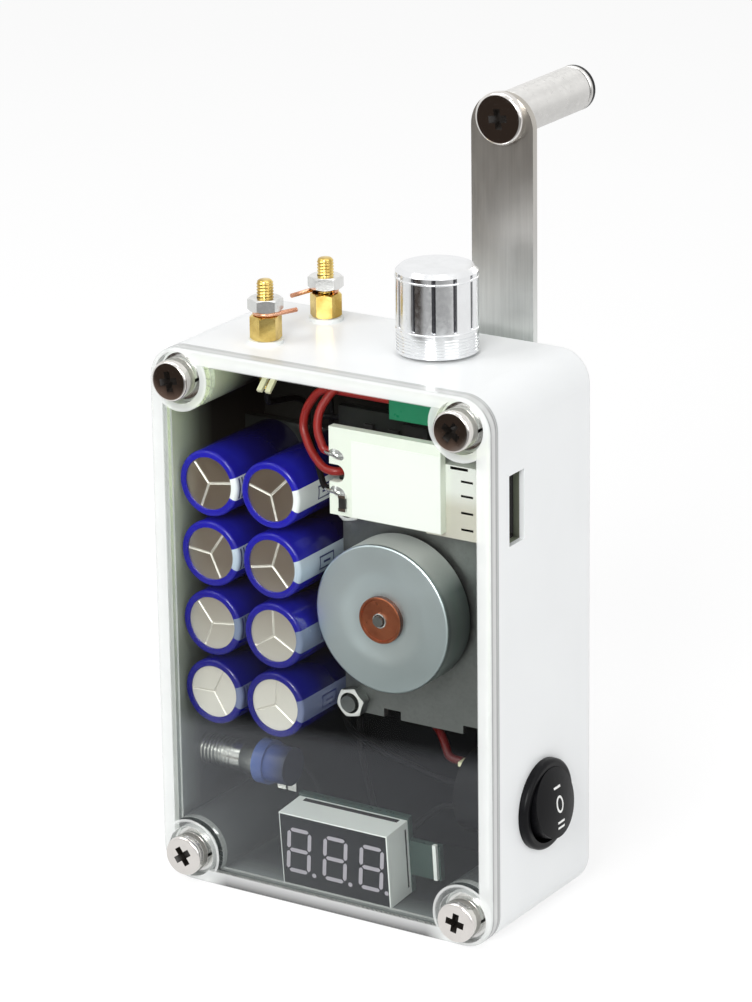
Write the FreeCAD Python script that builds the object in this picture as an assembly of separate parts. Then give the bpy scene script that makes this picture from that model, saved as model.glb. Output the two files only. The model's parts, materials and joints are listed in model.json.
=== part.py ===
import FreeCAD, Part
import math
import os

# Hand crank generator in a clear-lidded junction box.
# Millimetres. +X is the right side of the box, -Y the clear lid, +Z up.
# The origin is the middle of the box's bottom face.

os.makedirs("parts", exist_ok=True)

V = FreeCAD.Vector

# ---------------------------------------------------------------- driving dimensions
BOX_W = 69.0            # across the front
BOX_D = 34.5            # lid face to back wall
BOX_H = 100.0
CORNER_R = 6.0          # the four edges that run front to back
WALL = 2.2
LID_RIM = 2.7           # height of the lid's side wall
LID_FACE = 1.3          # thickness of the lid's window
LID_WALL = 2.6

GAP = 0.3               # between pieces that do not touch
RUN = 0.05              # radial running clearance of a shaft in its bush
FIT = 0.05              # between flat faces of moulded pieces that lie together

THREAD_R = 1.5          # M3 screws
SCREW_INSET_X = 5.9     # lid screws, from the side faces
SCREW_INSET_Z = 5.4     # lid screws, from the top and bottom faces
BOSS_R = 6.1            # round boss about each lid screw
LID_HEAD_R = 3.65
LID_HEAD_T = 2.8
FLAT_WASHER_T = 0.5
SPRING_WASHER_T = 1.35

STUD_R = 1.5            # threaded studs of the binding posts
STUD_TIP_R = 1.3        # their free ends above the nuts, at the thread's core
POSTS = [(-17.0, -6.6), (-15.5, 10.3)]
POST_ABOVE = 11.4       # stud top above the box
POST_BELOW = 6.0        # stud end below the box's top wall
POST_WASHER_T = 0.7
POST_HEX_H = 4.3
POST_WIRE_D = 0.8
POST_NUT_T = 2.3

CRANK_X = 14.9
CRANK_Z = 48.0
ARM_REACH = 90.1        # crank shaft to handle
ARM_W = 12.4
ARM_T = 1.4
ARM_END_DROP = 1.8      # centre of the arm's round end below the handle
HANDLE_D = 8.2
HANDLE_L = 21.4
HANDLE_PIN_R = 2.0
HANDLE_WASHER_T = 0.5
HANDLE_CAP_T = 1.6
HANDLE_HEAD_R = 4.7
HANDLE_HEAD_T = 1.5
BUSH_NUT_T = 1.9
CRANK_NUT_T = 3.2

PLATE_T = 1.2           # the two plates of the gearbox
GEARBOX_DEPTH = 11.4    # between the plates
PLATE_LEFT = 20.7       # edges of the plates, from the crank shaft
PLATE_RIGHT = 14.4
PLATE_BELOW = 16.2
PLATE_ABOVE = 25.0
PILLAR_INSET = 2.2
PILLAR_R = 2.4
BUSH_R = 4.5
CRANK_SHAFT_R = 3.0
CRANK_END_R = 2.0
IDLER_AXLE_R = 1.0

MOTOR_X = 7.3
MOTOR_Z = 53.8
MOTOR_R = 13.6
MOTOR_L = 8.5           # can's front to the gearbox plate
MOTOR_CAN_L = 7.3
CAN_WALL = 0.9
MOTOR_SHAFT_R = 1.0
MOTOR_BUSH_R = 4.25
MOTOR_SPIGOT_R = 3.2
MOTOR_BOSS_R = 3.0

MODULE = 0.5
CRANK_TEETH = 44
IDLER_PINION_TEETH = 12
IDLER_TEETH = 36
MOTOR_TEETH = 10
BACKLASH = 0.12

CAP_D = 12.2
CAP_L = 21.0
CAP_PITCH = 13.05
CAP_ROWS = 4
CAP_COLUMNS = 2
CAP_TOP_Z = 74.3
CAP_SETBACK = 4.55      # sleeve ends behind the front face
CAP_SLEEVE_T = 0.35
BOARD_T = 1.6           # capacitor, main and USB boards

KNOB_X = 11.85
KNOB_Y = 3.3
KNOB_D = 14.4
KNOB_H = 15.0
KNOB_FLUTES = 12
KNOB_RINGS = 6
POT_R = 8.1
POT_H = 7.2
POT_BUSH_R = 3.45
POT_SHAFT_R = 3.0
POT_NUT_H = 2.2
POT_NUT_AF = 10.0       # across the flats

SWITCH_Y = 0.0
SWITCH_Z = 22.0
SWITCH_FLANGE_R = 8.2
SWITCH_FLANGE_T = 1.6
SWITCH_BARREL_R = 7.4
SWITCH_DEPTH = 13.8     # behind the side face
ROCKER_R = 6.3
ROCKER_GAP = 0.55       # round the rocker in its pocket
ROCKER_PIN_R = 0.9
ROCKER_TILT = 9.0       # each side of the middle position
TERMINAL_PITCH = 4.5

USB_Y = -8.35
USB_DROP = 21.05        # below the box's top
USB_SLOT_W = 12.6       # slot in the side wall
USB_SLOT_H = 5.0
USB_SHELL_T = 0.3
USB_SHELL_L = 14.1

METER_X = 0.8
METER_W = 22.6
METER_H = 14.2
METER_T = 6.9
METER_SETBACK = 1.6     # behind the lid's window
METER_TIP = 5.0         # degrees the meter tips towards the lid
METER_RIM = 0.25
DIGIT_PITCH = 7.6
DIGIT_LEAN = 6.0

JACK_Y = -6.2
JACK_Z = 21.0
JACK_BUSH_R = 2.9
JACK_BUSH_L = 11.1
JACK_BORE_R = 1.75
JACK_BODY_L = 6.5

# ---------------------------------------------------------------- derived levels
FRONT = -BOX_D / 2
SEAM = FRONT + LID_RIM
LID_INSIDE = FRONT + LID_FACE
BACK = BOX_D / 2
BACK_INSIDE = BACK - WALL
SIDE = BOX_W / 2
SIDE_INSIDE = SIDE - WALL
TOP_INSIDE = BOX_H - WALL
USB_Z = BOX_H - USB_DROP
SCREW_X = SIDE - SCREW_INSET_X
SCREW_AXES = [(x, z) for x in (-SCREW_X, SCREW_X) for z in (SCREW_INSET_Z, BOX_H - SCREW_INSET_Z)]


# ---------------------------------------------------------------- helpers
def box(x0, x1, y0, y1, z0, z1):
    return Part.makeBox(x1 - x0, y1 - y0, z1 - z0, V(x0, y0, z0))


def rod_x(x0, x1, y, z, r):
    return Part.makeCylinder(r, x1 - x0, V(x0, y, z), V(1, 0, 0))


def rod_y(x, y0, y1, z, r):
    return Part.makeCylinder(r, y1 - y0, V(x, y0, z), V(0, 1, 0))


def rod_z(x, y, z0, z1, r):
    return Part.makeCylinder(r, z1 - z0, V(x, y, z0), V(0, 0, 1))


def tube_y(x, y0, y1, z, r_out, r_in):
    return rod_y(x, y0, y1, z, r_out).cut(rod_y(x, y0, y1, z, r_in))


def tube_z(x, y, z0, z1, r_out, r_in):
    return rod_z(x, y, z0, z1, r_out).cut(rod_z(x, y, z0, z1, r_in))


def fuse(shapes):
    whole = shapes[0]
    for shape in shapes[1:]:
        whole = whole.fuse(shape)
    return whole.removeSplitter()


def prism(points, direction):
    wire = Part.makePolygon(points + [points[0]])
    return Part.Face(wire).extrude(direction)


def hex_z(x, y, z0, z1, across_flats, turn=0.0):
    r = across_flats / math.sqrt(3)
    angles = [math.radians(turn + 60 * i) for i in range(6)]
    return prism([V(x + r * math.cos(a), y + r * math.sin(a), z0) for a in angles], V(0, 0, z1 - z0))


def hex_y(x, y0, y1, z, across_flats, turn=0.0):
    r = across_flats / math.sqrt(3)
    angles = [math.radians(turn + 60 * i) for i in range(6)]
    return prism([V(x + r * math.cos(a), y0, z + r * math.sin(a)) for a in angles], V(0, y1 - y0, 0))


def rounded_block(inset, y0, y1):
    """Front outline of the box, drawn in by inset, between two depths."""
    x = SIDE - inset
    block = box(-x, x, y0, y1, inset, BOX_H - inset)
    edges = [e for e in block.Edges if abs(e.tangentAt(e.FirstParameter).y) > 0.99]
    return block.makeFillet(CORNER_R - inset, edges)


def ring_y(rim_out, rim_in, y0, y1):
    return rounded_block(rim_out, y0, y1).cut(rounded_block(rim_in, y0, y1))


def tangent_arcs(points):
    """Straight runs joined by tangent arcs as wide as the shorter run allows."""
    edges = []
    start = points[0]
    for before, corner, after in zip(points, points[1:], points[2:]):
        come = (before - corner)
        leave = (after - corner)
        half = come.getAngle(leave) / 2
        cut = 0.45 * min(come.Length, leave.Length)
        radius = cut * math.tan(half)
        u = V(come).normalize()
        w = V(leave).normalize()
        a = corner + u * cut
        b = corner + w * cut
        centre = corner + (u + w).normalize() * (cut / math.cos(half))
        middle = centre + (corner - centre).normalize() * radius
        edges.append(Part.LineSegment(start, a).toShape())
        edges.append(Part.Arc(a, middle, b).toShape())
        start = b
    edges.append(Part.LineSegment(start, points[-1]).toShape())
    return Part.Wire(edges)


def wire_piece(points, diameter):
    """One insulated wire along its route."""
    points = [V(*p) for p in points]
    path = tangent_arcs(points)
    profile = Part.Wire(Part.makeCircle(diameter / 2, points[0], points[1] - points[0]))
    return path.makePipeShell([profile], True, False)


def gear(teeth, x, z, y0, y1, phase, bore):
    """Spur gear with involute flanks, 25 degree pressure angle, stub teeth."""
    pressure = math.radians(25)
    pitch_r = MODULE * teeth / 2
    base_r = pitch_r * math.cos(pressure)
    tip_r = pitch_r + 0.8 * MODULE
    root_r = pitch_r - 1.1 * MODULE
    tooth = math.pi * MODULE / 2 - BACKLASH
    pitch_half = tooth / (2 * pitch_r) + math.tan(pressure) - pressure
    flank = [(root_r, None)]
    first = max(base_r, root_r) + 0.001
    steps = 4
    for i in range(steps + 1):
        r = first + (tip_r - first) * i / steps
        roll = math.acos(min(1.0, base_r / r))
        flank.append((r, pitch_half - (math.tan(roll) - roll)))
    flank[0] = (root_r, flank[1][1])
    points = []
    for k in range(teeth):
        middle = phase + 2 * math.pi * k / teeth
        for r, half in flank:
            points.append(V(x + r * math.cos(middle - half), y0, z + r * math.sin(middle - half)))
        for r, half in reversed(flank):
            points.append(V(x + r * math.cos(middle + half), y0, z + r * math.sin(middle + half)))
    return prism(points, V(0, y1 - y0, 0)).cut(rod_y(x, y0, y1, z, bore))


def write(name, solids):
    shape = solids[0] if len(solids) == 1 else Part.makeCompound(solids)
    shape.exportStep("parts/" + name + ".step")


# ---------------------------------------------------------------- levels of the drive train
REAR_SPACER = 1.5
REAR_PLATE = BACK_INSIDE - REAR_SPACER - PLATE_T
FRONT_PLATE = REAR_PLATE - GEARBOX_DEPTH - PLATE_T
GEARS_FROM = FRONT_PLATE + PLATE_T
PLATE_X = (CRANK_X - PLATE_LEFT, CRANK_X + PLATE_RIGHT)
PLATE_Z = (CRANK_Z - PLATE_BELOW, CRANK_Z + PLATE_ABOVE)
PILLARS = [(x, z) for x in (PLATE_X[0] + PILLAR_INSET, PLATE_X[1] - PILLAR_INSET)
           for z in (PLATE_Z[0] + PILLAR_INSET, PLATE_Z[1] - PILLAR_INSET)]

# The idler axle lies where both pairs of gears mesh, above the other two.
REACH_CRANK = MODULE * (CRANK_TEETH + IDLER_PINION_TEETH) / 2
REACH_MOTOR = MODULE * (IDLER_TEETH + MOTOR_TEETH) / 2
DX = MOTOR_X - CRANK_X
DZ = MOTOR_Z - CRANK_Z
SPAN = math.hypot(DX, DZ)
ALONG = (REACH_CRANK ** 2 - REACH_MOTOR ** 2 + SPAN ** 2) / (2 * SPAN)
ASIDE = math.sqrt(REACH_CRANK ** 2 - ALONG ** 2)
IDLER_X = CRANK_X + (ALONG * DX + ASIDE * DZ) / SPAN
IDLER_Z = CRANK_Z + (ALONG * DZ - ASIDE * DX) / SPAN

# ---------------------------------------------------------------- levels of the crank
NUT_Y = BACK + BUSH_NUT_T
ARM_Y = NUT_Y + 0.95
HANDLE_X = CRANK_X
HANDLE_Z = CRANK_Z + ARM_REACH
HANDLE_Y = ARM_Y + ARM_T + HANDLE_WASHER_T + GAP


# ---------------------------------------------------------------- box, lid and lid screws
WASHER_SEAT = FRONT + 1.9
HEAD_UNDER = WASHER_SEAT - FLAT_WASHER_T - SPRING_WASHER_T
LID_SCREW_L = 12.0      # behind the seam
LID_HOLE_L = LID_SCREW_L + 2.5
GROOVE = (0.6, 1.6)     # seal groove in the box's edge, from the outside
GROOVE_DEPTH = 1.0


def make_box_body():
    shell = rounded_block(0, SEAM, BACK)
    outline = [e for e in shell.Edges if abs(e.CenterOfMass.y - BACK) < 0.01]
    shell = shell.makeFillet(1.0, outline)
    body = shell.cut(rounded_block(WALL, SEAM, BACK_INSIDE))
    posts = [rod_y(x, SEAM, BACK - 1.1, z, BOSS_R).common(shell) for x, z in SCREW_AXES]
    body = fuse([body] + posts)
    for x, z in SCREW_AXES:
        body = body.cut(rod_y(x, SEAM, SEAM + LID_HOLE_L, z, THREAD_R))
    body = body.cut(ring_y(GROOVE[0], GROOVE[1], SEAM, SEAM + GROOVE_DEPTH))
    for x, y in POSTS:
        body = body.cut(rod_z(x, y, TOP_INSIDE, BOX_H, STUD_R))
    body = body.cut(rod_z(KNOB_X, KNOB_Y, TOP_INSIDE, BOX_H, POT_BUSH_R))
    body = body.cut(rod_x(SIDE_INSIDE, SIDE, SWITCH_Y, SWITCH_Z, SWITCH_BARREL_R))
    body = body.cut(box(SIDE_INSIDE, SIDE, USB_Y - USB_SLOT_H / 2, USB_Y + USB_SLOT_H / 2,
                        USB_Z - USB_SLOT_W / 2, USB_Z + USB_SLOT_W / 2))
    body = body.cut(rod_x(-SIDE, -SIDE_INSIDE, JACK_Y, JACK_Z, JACK_BUSH_R))
    body = body.cut(rod_y(CRANK_X, BACK_INSIDE, BACK, CRANK_Z, BUSH_R))
    for x, z in PILLARS:
        body = body.cut(rod_y(x, BACK_INSIDE, BACK, z, THREAD_R))
    return body


def make_lid():
    lid = rounded_block(0, FRONT, SEAM)
    outline = [e for e in lid.Edges if abs(e.CenterOfMass.y - FRONT) < 0.01]
    lid = lid.makeFillet(0.5, outline)
    hollow = rounded_block(LID_WALL, LID_INSIDE, SEAM)
    for x, z in SCREW_AXES:
        hollow = hollow.cut(rod_y(x, LID_INSIDE, SEAM, z, BOSS_R))
    lid = lid.cut(hollow)
    for x, z in SCREW_AXES:
        lid = lid.cut(rod_y(x, FRONT, WASHER_SEAT, z, LID_HEAD_R + 1.05))
        lid = lid.cut(rod_y(x, FRONT, SEAM, z, THREAD_R + 0.1))
    return lid


def cross_recess(x, y, z, width, depth):
    """Phillips recess cut into a face that looks to -Y."""
    arm = width * 0.28
    bars = [box(x - width / 2, x + width / 2, y, y + depth, z - arm / 2, z + arm / 2),
            box(x - arm / 2, x + arm / 2, y, y + depth, z - width / 2, z + width / 2)]
    return fuse(bars)


def make_lid_screw(x, z):
    top = HEAD_UNDER - LID_HEAD_T
    head = rod_y(x, top, HEAD_UNDER, z, LID_HEAD_R)
    rim = [e for e in head.Edges if abs(e.CenterOfMass.y - top) < 0.01]
    head = head.makeFillet(0.4, rim)
    screw = fuse([head, rod_y(x, HEAD_UNDER, SEAM + LID_SCREW_L, z, THREAD_R)])
    return screw.cut(cross_recess(x, top, z, 3.6, LID_HEAD_T / 2))


def make_spring_washer(x, z):
    outer = LID_HEAD_R + 0.05
    ring = tube_y(x, HEAD_UNDER, HEAD_UNDER + SPRING_WASHER_T, z, outer, THREAD_R + 0.1)
    return ring.cut(box(x + 1.0, x + outer, HEAD_UNDER, HEAD_UNDER + SPRING_WASHER_T, z - 0.3, z + 0.3))


def make_flat_washer(x, z):
    return tube_y(x, WASHER_SEAT - FLAT_WASHER_T, WASHER_SEAT, z, LID_HEAD_R + 0.55, THREAD_R + 0.1)


# ---------------------------------------------------------------- binding posts on the top face
POST_HEX_TOP = BOX_H + POST_WASHER_T + POST_HEX_H
POST_NUT_Z = POST_HEX_TOP + POST_WIRE_D + FIT
POST_TOP = BOX_H + POST_ABOVE
STUD_END = TOP_INSIDE - POST_BELOW
LUG_T = 0.6
LUG_REACH = 6.0


def make_post_stud(x, y):
    nut_top = POST_NUT_Z + POST_NUT_T
    free_end = rod_z(x, y, nut_top, POST_TOP, STUD_TIP_R)
    tip = [e for e in free_end.Edges if abs(e.CenterOfMass.z - POST_TOP) < 0.01]
    return fuse([rod_z(x, y, STUD_END, nut_top, STUD_R), free_end.makeFillet(0.8, tip)])


def make_standoff(x, y, turn):
    z = BOX_H + POST_WASHER_T
    return hex_z(x, y, z, POST_HEX_TOP, 4.9, turn).cut(rod_z(x, y, z, POST_HEX_TOP, STUD_R))


def make_post_nut(x, y, z, turn):
    return hex_z(x, y, z, z + POST_NUT_T, 5.5, turn).cut(rod_z(x, y, z, z + POST_NUT_T, STUD_R))


def make_post_wire(x, y, away, length):
    """Bare copper end laid round the stud and out to one side."""
    z = POST_HEX_TOP + POST_WIRE_D / 2
    r = STUD_R + POST_WIRE_D / 2
    side = V(away[1], -away[0], 0)
    start = V(x, y, z) + side * r
    out = Part.LineSegment(start + V(*away) * length, start).toShape()
    turn = Part.Arc(start, V(x, y, z) - V(*away) * r, V(x, y, z) - side * r).toShape()
    path = Part.Wire([out, turn])
    profile = Part.Wire(Part.makeCircle(POST_WIRE_D / 2, start + V(*away) * length, -V(*away)))
    return path.makePipeShell([profile], True, False)


def make_post_lug(x, y):
    under = TOP_INSIDE - LUG_T
    ring = tube_z(x, y, under, TOP_INSIDE, 3.0, STUD_R)
    arm = box(x - 1.0, x + 1.0, y - LUG_REACH, y - 2.6, under, TOP_INSIDE)
    tail = box(x - 1.0, x + 1.0, y - LUG_REACH, y - LUG_REACH + LUG_T, under - 5.0, under + 0.1)
    return fuse([ring, arm, tail])


# ---------------------------------------------------------------- potentiometer and knob
POT_BOTTOM = TOP_INSIDE - POT_H
POT_BUSH_TOP = BOX_H + POT_NUT_H + 1.2
POT_CHAMBER = (POT_BOTTOM + 1.2, POT_BOTTOM + 3.4)
WIPER = (POT_CHAMBER[0] + GAP, POT_CHAMBER[1] - GAP)
WIPER_R = 5.4
KNOB_BOTTOM = BOX_H + 0.55
KNOB_TOP = KNOB_BOTTOM + KNOB_H
KNOB_RECESS_TOP = POT_BUSH_TOP + 0.5
KNOB_CHAMFER = 0.8
KNOB_WALL = 1.0
KNOB_PLAIN = 4.6        # height without flutes
KNOB_FLUTE_R = 0.35
KNOB_TURN = 27.0        # degrees from +X to the first flute
KNOB_RING_PITCH = 0.55
KNOB_SCREW_Z = BOX_H + 7.5
KNOB_SCREW_R = 1.3
SHAFT_TOP = KNOB_TOP - 2.6
POT_BOARD_T = 1.0
POT_BOARD_Y = (KNOB_Y - POT_R - 4.2, KNOB_Y - POT_R - 4.2 + POT_BOARD_T)
POT_LEG_Z = TOP_INSIDE - 4.2
POT_LEG_PITCH = 3.5


def make_pot_body():
    case = rod_z(KNOB_X, KNOB_Y, POT_BOTTOM, TOP_INSIDE, POT_R)
    bush = rod_z(KNOB_X, KNOB_Y, TOP_INSIDE, POT_BUSH_TOP, POT_BUSH_R)
    leg_x = [KNOB_X - 1.2 + POT_LEG_PITCH * i for i in range(3)]
    legs = [box(x - 0.5, x + 0.5, POT_BOARD_Y[1], KNOB_Y - POT_R + 1.1, POT_LEG_Z, POT_LEG_Z + 0.6)
            for x in leg_x]
    whole = fuse([case, bush] + legs)
    whole = whole.cut(rod_z(KNOB_X, KNOB_Y, POT_CHAMBER[0], POT_BUSH_TOP, POT_SHAFT_R + RUN))
    return whole.cut(rod_z(KNOB_X, KNOB_Y, POT_CHAMBER[0], POT_CHAMBER[1], WIPER_R + 0.4))


def make_pot_shaft():
    wiper = rod_z(KNOB_X, KNOB_Y, WIPER[0], WIPER[1], WIPER_R)
    return fuse([wiper, rod_z(KNOB_X, KNOB_Y, WIPER[1], SHAFT_TOP, POT_SHAFT_R)])


def make_pot_nut():
    nut = hex_z(KNOB_X, KNOB_Y, BOX_H, BOX_H + POT_NUT_H, POT_NUT_AF)
    return nut.cut(rod_z(KNOB_X, KNOB_Y, BOX_H, BOX_H + POT_NUT_H, POT_BUSH_R))


def make_pot_board():
    left = KNOB_X - 2.25
    bottom = TOP_INSIDE - 6.9
    return box(left, left + 10.8, POT_BOARD_Y[0], POT_BOARD_Y[1], bottom, bottom + 6.5)


def make_knob():
    knob = rod_z(KNOB_X, KNOB_Y, KNOB_BOTTOM, KNOB_TOP, KNOB_D / 2)
    rim = [e for e in knob.Edges if abs(e.CenterOfMass.z - KNOB_TOP) < 0.01]
    knob = knob.makeChamfer(KNOB_CHAMFER, rim)
    for i in range(KNOB_FLUTES):
        a = 2 * math.pi * i / KNOB_FLUTES + math.radians(KNOB_TURN)
        x = KNOB_X + KNOB_D / 2 * math.cos(a)
        y = KNOB_Y + KNOB_D / 2 * math.sin(a)
        knob = knob.cut(rod_z(x, y, KNOB_BOTTOM + KNOB_PLAIN, KNOB_TOP - KNOB_CHAMFER, KNOB_FLUTE_R))
    for i in range(KNOB_RINGS):
        z = KNOB_BOTTOM + KNOB_PLAIN - 0.8 - KNOB_RING_PITCH * (i + 1)
        knob = knob.cut(tube_z(KNOB_X, KNOB_Y, z, z + 0.25, KNOB_D / 2, KNOB_D / 2 - 0.2))
    knob = knob.cut(rod_z(KNOB_X, KNOB_Y, KNOB_BOTTOM, KNOB_RECESS_TOP, KNOB_D / 2 - KNOB_WALL))
    knob = knob.cut(rod_z(KNOB_X, KNOB_Y, KNOB_RECESS_TOP, SHAFT_TOP, POT_SHAFT_R))
    return knob.cut(rod_y(KNOB_X, KNOB_Y, KNOB_Y + KNOB_D, KNOB_SCREW_Z, KNOB_SCREW_R))


def make_knob_screw():
    start = KNOB_Y + POT_SHAFT_R
    return rod_y(KNOB_X, start + 0.02, KNOB_Y + KNOB_D / 2 - 0.53, KNOB_SCREW_Z, KNOB_SCREW_R)


# ---------------------------------------------------------------- rocker switch on the right side
SWITCH_FLANGE_X = SIDE + SWITCH_FLANGE_T
SWITCH_BACK = SIDE - SWITCH_DEPTH
ROCKER_PIVOT_X = SIDE - 1.2
ROCKER_BOTTOM = SIDE - 3.2
ROCKER_TOP = SIDE + 3.4
ROCKER_DOME_R = 30.0
POCKET_R = ROCKER_R + ROCKER_GAP
TERMINAL_Z = [SWITCH_Z + TERMINAL_PITCH * i for i in (-1, 0, 1)]
TERMINAL_OUT = 2.4      # behind the case
TERMINAL_IN = 3.0       # held in the case
TERMINAL_X = SWITCH_BACK - TERMINAL_OUT


def rocker_pin(radius, reach):
    return rod_y(ROCKER_PIVOT_X, SWITCH_Y - reach, SWITCH_Y + reach, SWITCH_Z, radius)


def make_terminal(z, x0):
    return box(x0, SWITCH_BACK + TERMINAL_IN, SWITCH_Y - 1.6, SWITCH_Y + 1.6, z - 0.4, z + 0.4)


def make_switch_case():
    case = rod_x(SIDE, SWITCH_FLANGE_X, SWITCH_Y, SWITCH_Z, SWITCH_FLANGE_R)
    rim = [e for e in case.Edges if abs(e.CenterOfMass.x - SWITCH_FLANGE_X) < 0.01]
    case = case.makeFillet(0.7, rim)
    case = fuse([case, rod_x(SWITCH_BACK, SIDE, SWITCH_Y, SWITCH_Z, SWITCH_BARREL_R)])
    case = case.cut(rod_x(ROCKER_BOTTOM - 1.6, SWITCH_FLANGE_X, SWITCH_Y, SWITCH_Z, POCKET_R))
    case = fuse([case, rocker_pin(ROCKER_PIN_R, POCKET_R)])
    for z in TERMINAL_Z:
        case = case.cut(make_terminal(z, SWITCH_BACK))
    return case


def make_rocker():
    """Round rocker with a domed top, laid over to its upper position."""
    body = rod_x(ROCKER_BOTTOM, ROCKER_TOP, SWITCH_Y, SWITCH_Z, ROCKER_R)
    dome = Part.makeSphere(ROCKER_DOME_R, V(ROCKER_TOP - ROCKER_DOME_R, SWITCH_Y, SWITCH_Z))
    body = body.common(dome)
    body = body.cut(rocker_pin(ROCKER_PIN_R + RUN, ROCKER_R + 1.0))
    body.rotate(V(ROCKER_PIVOT_X, SWITCH_Y, SWITCH_Z), V(0, 1, 0), -ROCKER_TILT)
    return body


# ---------------------------------------------------------------- generator motor
CAN_FRONT = FRONT_PLATE - MOTOR_L
CAN_SPLIT = CAN_FRONT + MOTOR_CAN_L
MOTOR_BORE_R = MOTOR_SHAFT_R + RUN
END_R = MOTOR_R - 0.6
END_WALL = 1.2
END_FLOOR = 1.0
ROTOR_R = 10.0
PINION_END = GEARS_FROM + 4.6


def make_motor_can():
    can = rod_y(MOTOR_X, CAN_FRONT, CAN_SPLIT, MOTOR_Z, MOTOR_R)
    rim = [e for e in can.Edges if abs(e.CenterOfMass.y - CAN_FRONT) < 0.01]
    can = can.makeFillet(0.8, rim)
    can = can.cut(rod_y(MOTOR_X, CAN_FRONT + CAN_WALL, CAN_SPLIT, MOTOR_Z, MOTOR_R - CAN_WALL))
    return can.cut(rod_y(MOTOR_X, CAN_FRONT, CAN_FRONT + CAN_WALL, MOTOR_Z, MOTOR_SPIGOT_R))


def make_motor_bush():
    y0 = CAN_FRONT - 0.7
    y1 = CAN_FRONT + CAN_WALL + 1.0
    bush = fuse([rod_y(MOTOR_X, y0, CAN_FRONT, MOTOR_Z, MOTOR_BUSH_R),
                 rod_y(MOTOR_X, CAN_FRONT, y1, MOTOR_Z, MOTOR_SPIGOT_R)])
    return bush.cut(rod_y(MOTOR_X, y0, y1, MOTOR_Z, MOTOR_BORE_R))


def make_motor_end():
    floor = FRONT_PLATE - END_FLOOR
    end = rod_y(MOTOR_X, CAN_SPLIT, FRONT_PLATE, MOTOR_Z, END_R)
    end = end.cut(rod_y(MOTOR_X, CAN_SPLIT, floor, MOTOR_Z, END_R - END_WALL))
    boss = rod_y(MOTOR_X, floor, GEARS_FROM, MOTOR_Z, MOTOR_BOSS_R)
    return fuse([end, boss]).cut(rod_y(MOTOR_X, CAN_SPLIT, GEARS_FROM, MOTOR_Z, MOTOR_BORE_R))


def make_motor_rotor():
    y0 = CAN_FRONT + CAN_WALL + 1.4
    y1 = FRONT_PLATE - END_FLOOR - 0.8
    return tube_y(MOTOR_X, y0, y1, MOTOR_Z, ROTOR_R, MOTOR_SHAFT_R)


def make_motor_shaft():
    return rod_y(MOTOR_X, CAN_FRONT - 1.3, PINION_END, MOTOR_Z, MOTOR_SHAFT_R)


def make_motor_pinion():
    phase = TO_MOTOR + math.pi + math.pi / MOTOR_TEETH
    return gear(MOTOR_TEETH, MOTOR_X, MOTOR_Z, GEARS_FROM + 1.0, PINION_END, phase, MOTOR_SHAFT_R)


# ---------------------------------------------------------------- gearbox
NOTCH = 1.6
NOTCH_X = [(PLATE_X[0] + 8.0, PLATE_X[0] + 11.5), (PLATE_X[1] - 10.7, PLATE_X[1] - 7.7)]
GEARBOX_NUT_T = 2.3
GEARBOX_HEAD_T = 1.7
GEARBOX_HEAD_R = 2.75


def make_plate(y, holes):
    plate = box(PLATE_X[0], PLATE_X[1], y, y + PLATE_T, PLATE_Z[0], PLATE_Z[1])
    for x0, x1 in NOTCH_X:
        for z0, z1 in ((PLATE_Z[0], PLATE_Z[0] + NOTCH), (PLATE_Z[1] - NOTCH, PLATE_Z[1])):
            plate = plate.cut(box(x0, x1, y, y + PLATE_T, z0, z1))
    for x, z in PILLARS:
        plate = plate.cut(rod_y(x, y, y + PLATE_T, z, THREAD_R))
    for x, z, r in holes:
        plate = plate.cut(rod_y(x, y, y + PLATE_T, z, r))
    return plate


def make_gearbox_screw(x, z):
    top = BACK + GEARBOX_HEAD_T
    head = rod_y(x, BACK, top, z, GEARBOX_HEAD_R)
    rim = [e for e in head.Edges if abs(e.CenterOfMass.y - top) < 0.01]
    head = head.makeFillet(0.7, rim)
    screw = fuse([head, rod_y(x, FRONT_PLATE - GEARBOX_NUT_T - 0.6, BACK, z, THREAD_R)])
    return screw.cut(box(x - 0.4, x + 0.4, top - 0.7, top, z - GEARBOX_HEAD_R, z + GEARBOX_HEAD_R))


def make_gearbox_nut(x, z):
    y0 = FRONT_PLATE - GEARBOX_NUT_T
    return hex_y(x, y0, FRONT_PLATE, z, 5.0, 15).cut(rod_y(x, y0, FRONT_PLATE, z, THREAD_R))


def make_pillars():
    """Spacers between the plates, and short ones from the rear plate to the box."""
    spans = [(GEARS_FROM, REAR_PLATE), (REAR_PLATE + PLATE_T, BACK_INSIDE)]
    return [tube_y(x, y0, y1, z, PILLAR_R, THREAD_R) for x, z in PILLARS for y0, y1 in spans]


def make_crank_bush():
    end = NUT_Y + 0.2
    bush = rod_y(CRANK_X, REAR_PLATE, end, CRANK_Z, BUSH_R)
    collar = rod_y(CRANK_X, REAR_PLATE + PLATE_T, BACK_INSIDE, CRANK_Z, BUSH_R + 1.5)
    return fuse([bush, collar]).cut(rod_y(CRANK_X, REAR_PLATE, end, CRANK_Z, CRANK_SHAFT_R + RUN))


def make_bush_nut():
    nut = hex_y(CRANK_X, BACK, NUT_Y, CRANK_Z, 12.0, 30)
    return nut.cut(rod_y(CRANK_X, BACK, NUT_Y, CRANK_Z, BUSH_R))


CRANK_WHEEL_T = 3.3
IDLER_WHEEL_T = 2.4
CRANK_WHEEL_Y = (REAR_PLATE - 1.0 - CRANK_WHEEL_T, REAR_PLATE - 1.0)
IDLER_WHEEL_Y = (GEARS_FROM + 1.6, GEARS_FROM + 1.6 + IDLER_WHEEL_T)
TO_IDLER = math.atan2(IDLER_Z - CRANK_Z, IDLER_X - CRANK_X)
TO_MOTOR = math.atan2(MOTOR_Z - IDLER_Z, MOTOR_X - IDLER_X)


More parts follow.
